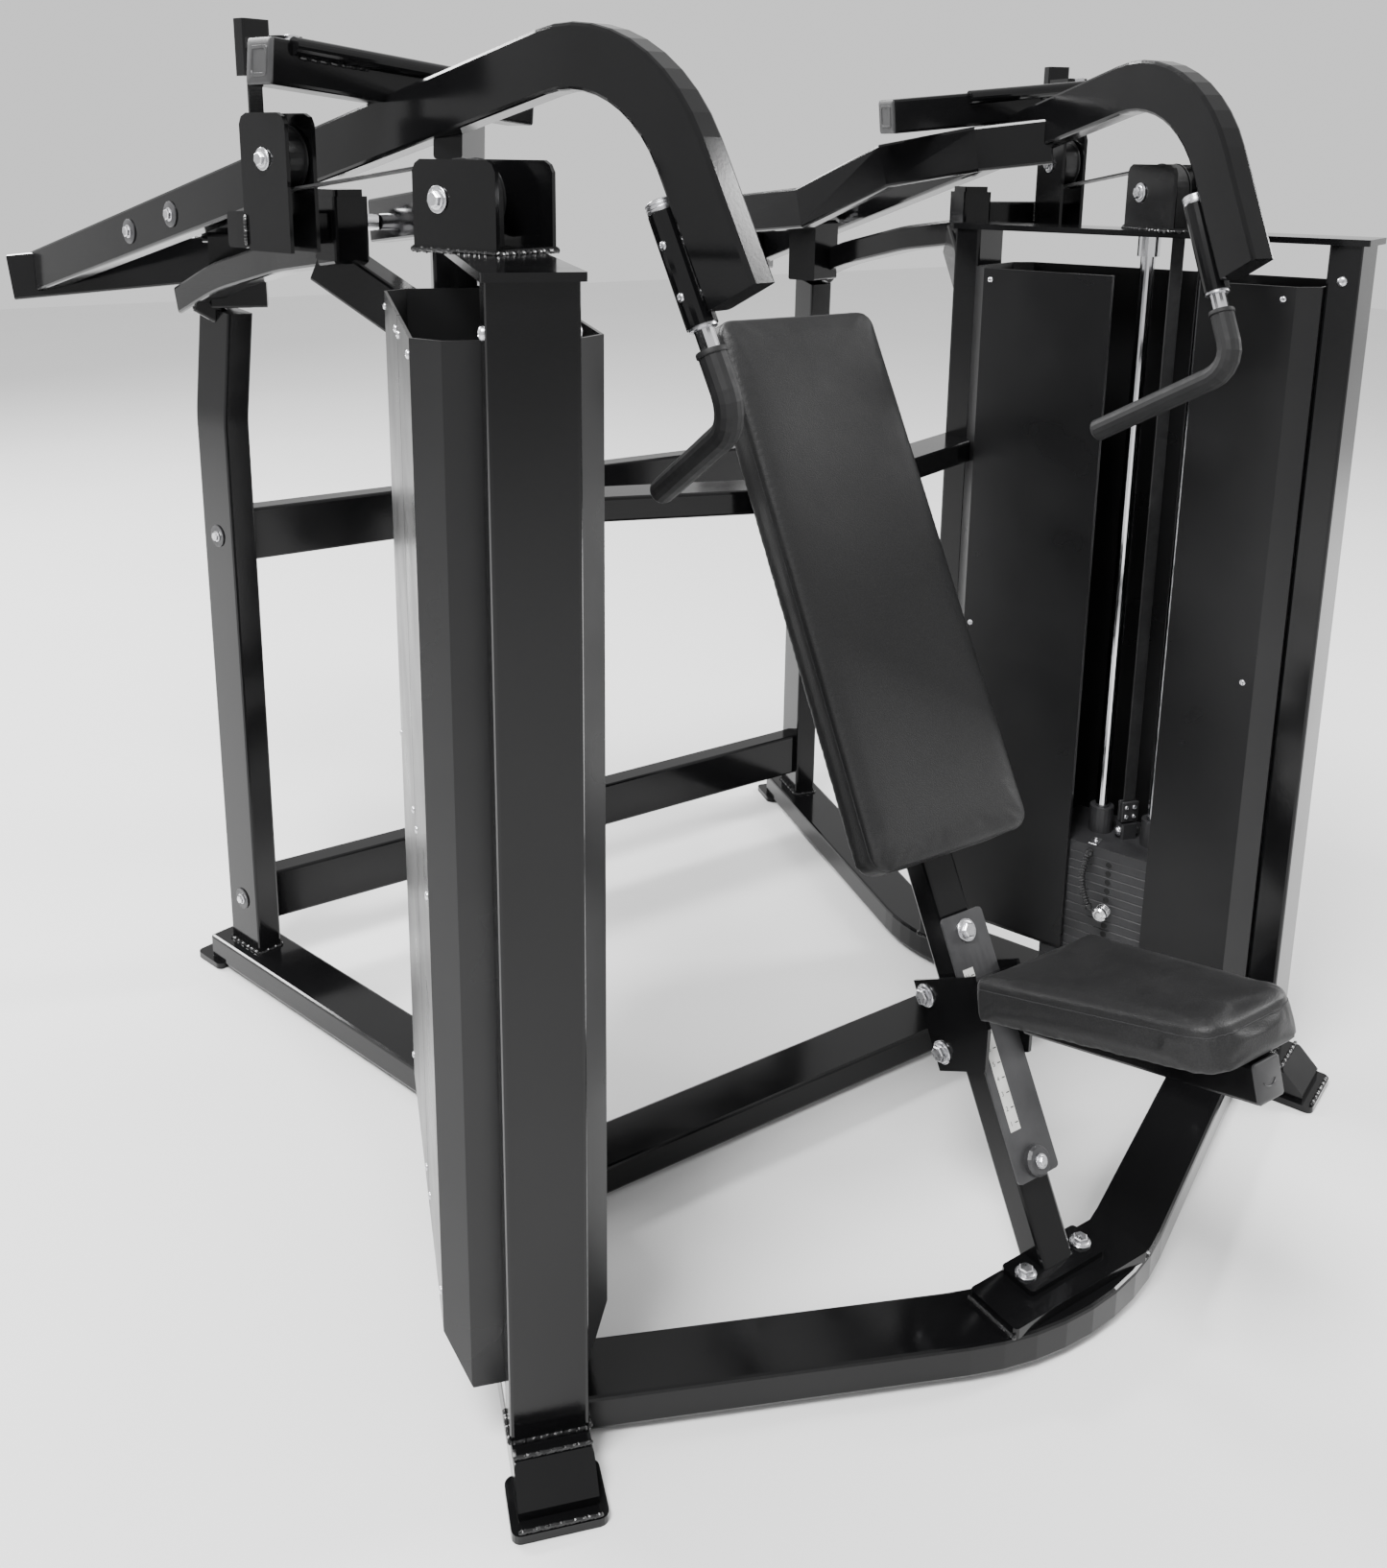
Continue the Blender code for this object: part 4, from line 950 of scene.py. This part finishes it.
def belts(looks):
    """Each belt in four pieces: its front and rear runs over the pulleys, and its two ends."""
    ahead = Vector((0, 1, 0))
    for side in SIDES:
        source = frame["nodes"][side.node("belt")]
        low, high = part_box(side.node("belt"))
        top = side.at(TOP_PULLEY)
        rear = side.at(REAR_PULLEY)
        between = (top + rear) / 2
        drop = slice_mesh(source, side.node("belt_drop"), [(top, UP), (between, ahead)])
        riser = slice_mesh(source, side.node("belt_riser"), [(rear, -UP), (rear, -ahead)])
        front_run = slice_mesh(source, side.node("belt_front"), [(top, -UP), (between, ahead)])
        rear_run = slice_mesh(source, side.node("belt_rear"), [(rear, UP), (between, -ahead)])
        level_cuts(drop, 24)
        level_cuts(riser, 6)
        for piece in (drop, riser, front_run, rear_run):
            belt_look(piece, looks)
        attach(front_run, "frame")
        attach(rear_run, "frame")
        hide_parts(side.node("belt"))
        side.node("stack")
        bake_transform(drop)
        side.node("arm")
        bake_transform(riser)


def pin_cords(looks):
    """The coiled keeper cords between the head plates and the pins' knobs."""
    for side in SIDES:
        top = side.tower(STACK_S + 0.035, -PLATE_WIDTH / 2 - 0.012, HEAD_FLOOR + 0.010)
        end = side.tower(STACK_S + 0.022, -PLATE_WIDTH / 2 - 0.030, PIN_HEIGHT + 0.012)
        middle = side.tower(STACK_S + 0.050, -PLATE_WIDTH / 2 - 0.032, (top.z + end.z) / 2)
        path = []
        count = CORD_TURNS * CORD_STEPS
        for step in range(count + 1):
            share = step / count
            centre = top * (1 - share) ** 2 + middle * 2 * share * (1 - share) + end * share ** 2
            along = (middle - top) * (1 - share) + (end - middle) * share
            first = along.orthogonal().normalized()
            second = along.normalized().cross(first)
            turn = 2 * math.pi * CORD_TURNS * share
            path.append(centre + (first * math.cos(turn) + second * math.sin(turn)) * CORD_COIL)
        ferrules = cord_ferrules(side, (top, middle), (end, middle), looks=looks)
        cord = wire(side.node("keeper_cord"), path, CORD_WIRE / 2, looks["cord"])
        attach(cord, side.node("stack"))
        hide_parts(side.node("pin_cord"))


def cord_ferrules(side, *ends, looks):
    """The crimped sleeves that hold both ends of the coil."""
    batch = Batch(side.node("cord_ferrules"))
    for spot, towards in ends:
        way = (spot - towards).normalized()
        lathe(batch, spot - way * 0.003, way,
              [(0, 0.0062), (0.0006, 0.0068), (0.0070, 0.0068), (0.0090, 0.0050),
               (0.0105, 0.0050), (0.0105, 0.0010)], 20)
    return batch.finish(looks["cord"], side.node("stack"))


def wire(name, path, radius, material):
    """A round wire along a path, left to be bound by the caller."""
    batch = Batch(name)
    rings = []
    for place, point in enumerate(path):
        ahead = path[min(place + 1, len(path) - 1)] - path[max(place - 1, 0)]
        rings.append(ring_round(point, ahead.normalized(), UP, radius, 8))
    batch.rings(rings)
    return batch.finish(material, None, 60)


# ------------------------------------------------------------------ hardware


def rail_trim(trim, side):
    """Welds at the feet of the uprights, and the rail's end caps."""
    short_half, long_half = TUBE_SHORT / 2 + WELD_OFF, TUBE_LONG / 2 + WELD_OFF
    for place in (FRONT_UPRIGHT_S, REAR_POST_S):
        trim.weld_round(side.tower(place, 0, RAIL_FACE), side.way(ALONG), side.way(ACROSS),
                        short_half, long_half)
    for along, half_width, height in ((0.062, 0.050, RAIL_FACE), (0.004, 0.052, 0.0135)):
        trim.weld([side.tower(along, across, height) for across in (-half_width, half_width)])
    trim.weld_round(side.at(REAR_UPRIGHT + UP * RAIL_FACE), side.way(REAR_ALONG),
                    side.way(REAR_ACROSS), long_half, short_half)
    rail_end = REAR_UPRIGHT + REAR_ALONG * 0.085 + UP * RAIL_MIDDLE
    trim.cap(side.at(rail_end), side.way(REAR_ALONG), side.way(REAR_ACROSS), TUBE_LONG,
             TUBE_SHORT)


def upright_bolts(trim, side):
    """The bolts that hold the rear cross tubes, through the uprights' outer faces."""
    for height in CROSS_TUBE_HEIGHTS:
        face = REAR_UPRIGHT + REAR_ACROSS * (TUBE_SHORT / 2) + UP * height
        trim.bolt(side.at(face), side.way(REAR_ACROSS), size=0.0085, washer=0.021)


def tower_head(trim, side):
    """The pulley brackets' welds and bolts, and the screws in the upright's sides."""
    trim.weld_round(side.pulley(TOP_PULLEY, -0.026, 0, CAP_TOP + WELD_OFF), side.way(BELT_ALONG),
                    side.way(BELT_ACROSS), 0.0735, 0.0535)
    for across in (-1, 1):
        outward = side.way(BELT_ACROSS * across)
        trim.bolt(side.pulley(TOP_PULLEY, 0, across * TOP_BRACKET_FACE, TOP_PULLEY.z), outward,
                  size=0.010, washer=0.0165, washer_look="zinc")
        trim.bolt(side.pulley(REAR_PULLEY, 0, across * REAR_BRACKET_FACE, REAR_PULLEY.z),
                  outward, *BRACKET_BOLT, washer_look="zinc")
        trim.weld([side.pulley(REAR_PULLEY, 0.046, across * (REAR_BRACKET_FACE + 0.0015), height)
                   for height in (1.492, 1.534)])
    for across in (-1, 1):
        trim.screw(side.tower(FRONT_UPRIGHT_S, across * TUBE_LONG / 2, TOWER_TOP - 0.055),
                   side.way(ACROSS * across), 0.008)


def shroud_screws(trim, side):
    """Small screws up both long faces of each sheet cover."""
    for height in (SHROUD_LOW + 0.110, (SHROUD_LOW + SHROUD_HIGH) / 2, SHROUD_HIGH - 0.020):
        for along in OUTER_SCREWS:
            trim.screw(side.tower(along, SHROUD_OUTER, height), side.way(ACROSS), 0.0052)
        for along in INNER_SCREWS:
            trim.screw(side.tower(along, SHROUD_INNER, height), side.way(-ACROSS), 0.0052)


def belt_clamp(trim, side):
    """The clamp on the belt's lower end, and the cord's bracket on the head plate."""
    face = -PLATE_WIDTH / 2
    bracket = side.tower(STACK_S + 0.036, face + 0.018, HEAD_TOP)
    trim.block("zinc", bracket, (side.way(ALONG) * 0.018, side.way(ACROSS) * 0.030, UP * 0.003))
    trim.screw(bracket + UP * 0.003 + side.way(ACROSS) * 0.004, UP, 0.006)
    low = HEAD_TOP + 0.034
    depth = 0.006
    gap = 0.0018
    for outward in (-1, 1):
        centre = side.pulley(TOP_PULLEY, -BELT_DROP + outward * (gap + depth / 2), 0, low)
        trim.block("cap", centre,
                   (side.way(BELT_ALONG) * depth, side.way(BELT_ACROSS) * 0.034, UP * 0.040))
    for rise in (0.011, 0.029):
        for across in (-0.008, 0.008):
            spot = side.pulley(TOP_PULLEY, -BELT_DROP - gap - depth, across, low + rise)
            trim.screw(spot, side.way(-BELT_ALONG), 0.0045)
    for across in (-1, 1):
        spot = side.pulley(TOP_PULLEY, -BELT_DROP, across * 0.016, HEAD_TOP + 0.015)
        trim.bolt(spot, side.way(BELT_ACROSS * across), size=0.0065, washer=0.0095,
                  washer_look="zinc")


def knob_ridges(trim, side):
    """Grip rings round the selector pin's knob."""
    start = side.tower(STACK_S, -PLATE_WIDTH / 2 - 0.006, PIN_HEIGHT)
    way = side.way(-ACROSS)
    for ring in range(4):
        lathe(trim.batch("pin"), start + way * ring * 0.0042, way,
              [(0, 0.0108), (0.0006, 0.0122), (0.0018, 0.0122), (0.0024, 0.0108)], 28)
    lathe(trim.batch("pin"), start + way * 0.0266, way,
          [(0, 0.0100), (0.0008, 0.0096), (0.0016, 0.0080), (0.0019, 0.0040)], 28)


def plate_marks(resting, lifted, side):
    """The pin holes in each plate's face: a raised rim, and a dark plug whose colour is painted
    shade for the depth of the holes.
    """
    face = -PLATE_WIDTH / 2
    for plate in range(PLATES):
        if plate == PIN_PLATE:
            continue
        trim = resting if plate < PIN_PLATE else lifted
        height = STACK_FLOOR + (plate + 0.5) * PLATE_HEIGHT
        spot = side.tower(STACK_S, face - 0.0001, height)
        lathe(trim.batch("stack"), spot, side.way(-ACROSS),
              [(-0.001, 0.0072), (0.0004, 0.0072), (0.0006, 0.0058), (-0.001, 0.0057)], 20)
        # A dark plug in each of the pin holes: its colour is painted shade for their depth.
        lathe(trim.batch("hole_painted_shade"), spot, side.way(-ACROSS), [(-0.002, 0.0058), (0.0001, 0.0058)])


def arm_height(along):
    """The height of the arm's middle line, along its straight rear part."""
    return ARM_BACK_HEIGHT - ARM_SLOPE * (ARM_ORIGIN.y + ARM_ALONG.y * along - ARM_BACK_Y)


def arm_trim(trim, side):
    """The link's bolts, the tail weld, and what the sleeve and the box tube carry."""
    middle = (ARM_BOLTS_Y - ARM_ORIGIN.y) / ARM_ALONG.y
    for offset in (-ARM_BOLTS_APART / 2, ARM_BOLTS_APART / 2):
        along = middle + offset
        trim.bolt(side.arm(along, arm_height(along), ARM_THICK / 2), side.way(ARM_ACROSS),
                  *TUBE_BOLT)
    sleeve_trim(trim, side)
    box_tube_trim(trim, side)
    trim.weld([side.arm(ARM_TAIL, arm_height(ARM_TAIL) + rise, ARM_THICK / 2 + WELD_OFF)
               for rise in (-0.038, 0.038)], 0.0040)


def sleeve_axis():
    """The handle's own line, leaning back in the arm's plane."""
    return Vector((ARM_ALONG.x * math.sin(HANDLE_LEAN), ARM_ALONG.y * math.sin(HANDLE_LEAN),
                   math.cos(HANDLE_LEAN)))


def sleeve_offset():
    """The way from the arm's front edge to the sleeve, square to the sleeve's line."""
    return Vector((ARM_ALONG.x * math.cos(HANDLE_LEAN), ARM_ALONG.y * math.cos(HANDLE_LEAN),
                   -math.sin(HANDLE_LEAN)))


def sleeve_top():
    start = ARM_ORIGIN + ARM_ALONG * ARM_FRONT[0] + UP * ARM_FRONT[1]
    return start + sleeve_offset() * SLEEVE_OFFSET + sleeve_axis() * SLEEVE_RISE


def sleeve_trim(trim, side):
    """A ridged cap, a bottom ring and a set screw on the handle's sleeve."""
    lean = side.way(sleeve_axis())
    top = side.at(sleeve_top())
    lathe(trim.batch("zinc"), top, lean,
          [(0, 0.0185), (0.0015, 0.0195), (0.0045, 0.0195), (0.0052, 0.0182), (0.0060, 0.0195),
           (0.0090, 0.0195), (0.0097, 0.0182), (0.0105, 0.0195), (0.0135, 0.0195),
           (0.0150, 0.0180), (0.0150, 0.0090), (0.0130, 0.0080), (0.0130, 0.0005)], 32)
    lathe(trim.batch("zinc"), top - lean * 0.147, lean,
          [(0, 0.0165), (0.0006, 0.0180), (0.0040, 0.0180), (0.0040, 0.0131), (0, 0.0131)], 32)
    outward = side.way(-sleeve_axis().cross(sleeve_offset()))
    if outward.x * side.sign < 0:
        outward = -outward
    for drop in (0.040, 0.105):
        trim.screw(top - lean * drop + outward * SLEEVE_RADIUS, outward, 0.0055)
    inner = side.way(sleeve_offset())
    for across in (-1, 1):
        edge = outward * across * 0.0062 - inner * 0.0205
        trim.weld([top - lean * 0.120 + edge, top - lean * 0.035 + edge], 0.0026)


def box_tube_trim(trim, side):
    """The cap, top bolt and bar welds of the tube over the arm."""
    direction = side.way((BOX_INNER - BOX_OUTER).normalized())
    outer = side.at(BOX_OUTER)
    front = direction.cross(UP).normalized()
    if front.y > 0:
        front = -front
    trim.cap(outer, -direction, front, BOX_SIZE, BOX_SIZE)
    trim.cap(side.at(BOX_INNER), direction, front, BOX_SIZE, BOX_SIZE)
    rise = front.cross(direction).normalized()
    if rise.z < 0:
        rise = -rise
    trim.bolt(outer + direction * 0.045 + rise * (BOX_SIZE / 2), rise, *BRACKET_BOLT,
              washer_look="zinc")
    bar = outer + front * (BOX_SIZE / 2) + UP * 0.022
    for lift in (0.0090, -0.0130):
        line = front * WELD_OFF + rise * lift
        trim.weld([bar + direction * 0.040 + line, bar + direction * 0.150 + line], 0.0028)


def handle_trim(trim, side):
    """The grip's collar and its rounded end."""
    top = sleeve_top()
    lean = sleeve_axis()
    elbow = top - lean * ELBOW_DROP
    tip = elbow + GRIP_RUN
    collar = side.at(elbow + lean * 0.0895)
    lathe(trim.batch("grip"), collar, side.way(lean),
          [(-0.004, 0.0186), (-0.003, 0.0196), (0.001, 0.0196), (0.003, 0.0186), (0.003, 0.0129),
           (-0.004, 0.0129)], 32)
    way = side.way((tip - elbow).normalized())
    steps = 6
    turns = [math.pi / 2 * step for step in range(steps + 1)]
    rounded = [(GRIP_RADIUS / 2 * math.sin(turn / steps),
                GRIP_RADIUS * math.cos(turn / (steps + 1))) for turn in turns]
    lathe(trim.batch("grip"), side.at(tip), way, rounded, 32)


def seat_trim(trim):
    """The carriage's large bolts, and the support tube's cap with its raised arc."""
    for sign in (-1, 1):
        for along in CARRIAGE_BOLTS:
            trim.bolt(post(along, -0.064, sign * CARRIAGE_FACE), RIGHT_WAY * sign, size=0.0125,
                      washer=0.0175, washer_look="zinc")
    back = SEAT_BACK_TOP - SEAT_UP * (SEAT_THICK + 0.0285)
    front = MIDDLE.at(back + SEAT_ALONG * 0.372)
    trim.cap(front, SEAT_ALONG, RIGHT_WAY, TUBE_SHORT, TUBE_SHORT, emboss=False)
    arc = []
    for step in range(13):
        turn = math.radians(-150 + 120 * step / 12)
        arc.append(front + SEAT_ALONG * 0.0042 + RIGHT_WAY * 0.013 * math.cos(turn)
                   + SEAT_UP * (0.013 * math.sin(turn) + 0.006))
    rings = [circle(point, RIGHT_WAY, 0.0010, 8) for point in arc]
    trim.batch("cap").rings(rings)


def post_trim(trim):
    """The foot's bolts and welds, and the slide plate's bolt, bumper screw and scale."""
    for sign in (-1, 1):
        trim.bolt(MIDDLE.at((sign * 0.056, -0.090, POST_FOOT_TOP)), UP, size=0.0105,
                  washer=0.0150, washer_look="zinc")
        trim.weld([MIDDLE.at((sign * 0.1372, y, RAIL_FACE)) for y in (-0.150, -0.060)], 0.0038)
    trim.bolt(post(SLIDE_LOW + SLIDE_LENGTH - 0.026, SLIDE_FACE), POST_N, size=0.0110,
              washer=0.0170, washer_look="zinc")
    trim.bolt(post(SLIDE_LOW + 0.022, 0.026), POST_N, size=0.0065, washer=0.0105,
              washer_look="zinc")
    scale(trim)


def scale(trim):
    """A pale adjustment scale with ticks and plain numbers."""
    length, width, thick = 0.232, 0.020, 0.0005
    across = -0.018
    start = SLIDE_LOW + 0.070
    trim.block("label", post(start + length / 2, SLIDE_FACE - 0.0001, across),
               (RIGHT_WAY * width, POST_U * length, POST_N * thick), 0.0002)
    count = 11
    face = SLIDE_FACE + thick - 0.0003
    for tick in range(count):
        along = start + length * (tick + 0.5) / count
        trim.block("ink", post(along, face, across + 0.0055),
                   (RIGHT_WAY * 0.006, POST_U * 0.0016, POST_N * 0.0004), 0.0001)
        numeral(trim, str(tick + 1), post(along, face + 0.0002, across - 0.0045))


def numeral(trim, text, spot):
    """A plain number lying on the post's front face."""
    curve = bpy.data.curves.new("numeral", "FONT")
    curve.body = text
    curve.size = 0.0095
    curve.extrude = 0.0001
    curve.align_x = "CENTER"
    curve.align_y = "CENTER"
    holder = add_object("numeral", curve)
    graph = bpy.context.evaluated_depsgraph_get()
    mesh = bpy.data.meshes.new_from_object(holder.evaluated_get(graph))
    turn = Matrix((RIGHT_WAY, POST_U, POST_N)).transposed().to_4x4()
    mesh.transform(Matrix.Translation(spot) @ turn)
    trim.batch("ink").work.from_mesh(mesh)
    bpy.data.objects.remove(holder)


def hardware(looks):
    """All fasteners, welds and mouldings, one set of pieces for each body."""
    still = Trim("frame")
    seat = Trim("seat")
    post_trim(still)
    seat_trim(seat)
    sets = [still, seat]
    for side in SIDES:
        rail_trim(still, side)
        upright_bolts(still, side)
        tower_head(still, side)
        shroud_screws(still, side)
        arm = Trim(side.node("arm"))
        stack = Trim(side.node("stack"))
        handle = Trim(side.node("handle"))
        pin = Trim(side.node("pin"))
        arm_trim(arm, side)
        belt_clamp(stack, side)
        knob_ridges(pin, side)
        plate_marks(still, stack, side)
        handle_trim(handle, side)
        sets += [arm, stack, handle, pin]
    for trim in sets:
        trim.finish(looks)


# ------------------------------------------------------------------ run


def make_looks():
    return {
        "frame": paint_gloss(),
        "shroud": paint_satin(),
        "chrome": chrome(),
        "stack": stack_iron(),
        "slide": slide_satin(),
        "grip": rubber(),
        "cord": plastic_black(),
        "pad": vinyl(),
        "belt": belt_weave(),
        "pulley": plastic_black(),
        "pin": knob_silver(),
        "thread": thread(),
        "zinc": zinc(),
        "washer": washer_black(),
        "weld": weld_bead(),
        "cap": cap_grey(),
        # Painted shade for the depth of the pin holes
        "hole_painted_shade": painted_hole_shade(),
        "label": label_pale(),
        "ink": label_ink(),
    }


camera()
studio()
looks = make_looks()
pin_cords(looks)
belts(looks)
dress_nodes(looks)
make_pad(back_pad(), looks)
make_pad(seat_pad(), looks)
hardware(looks)
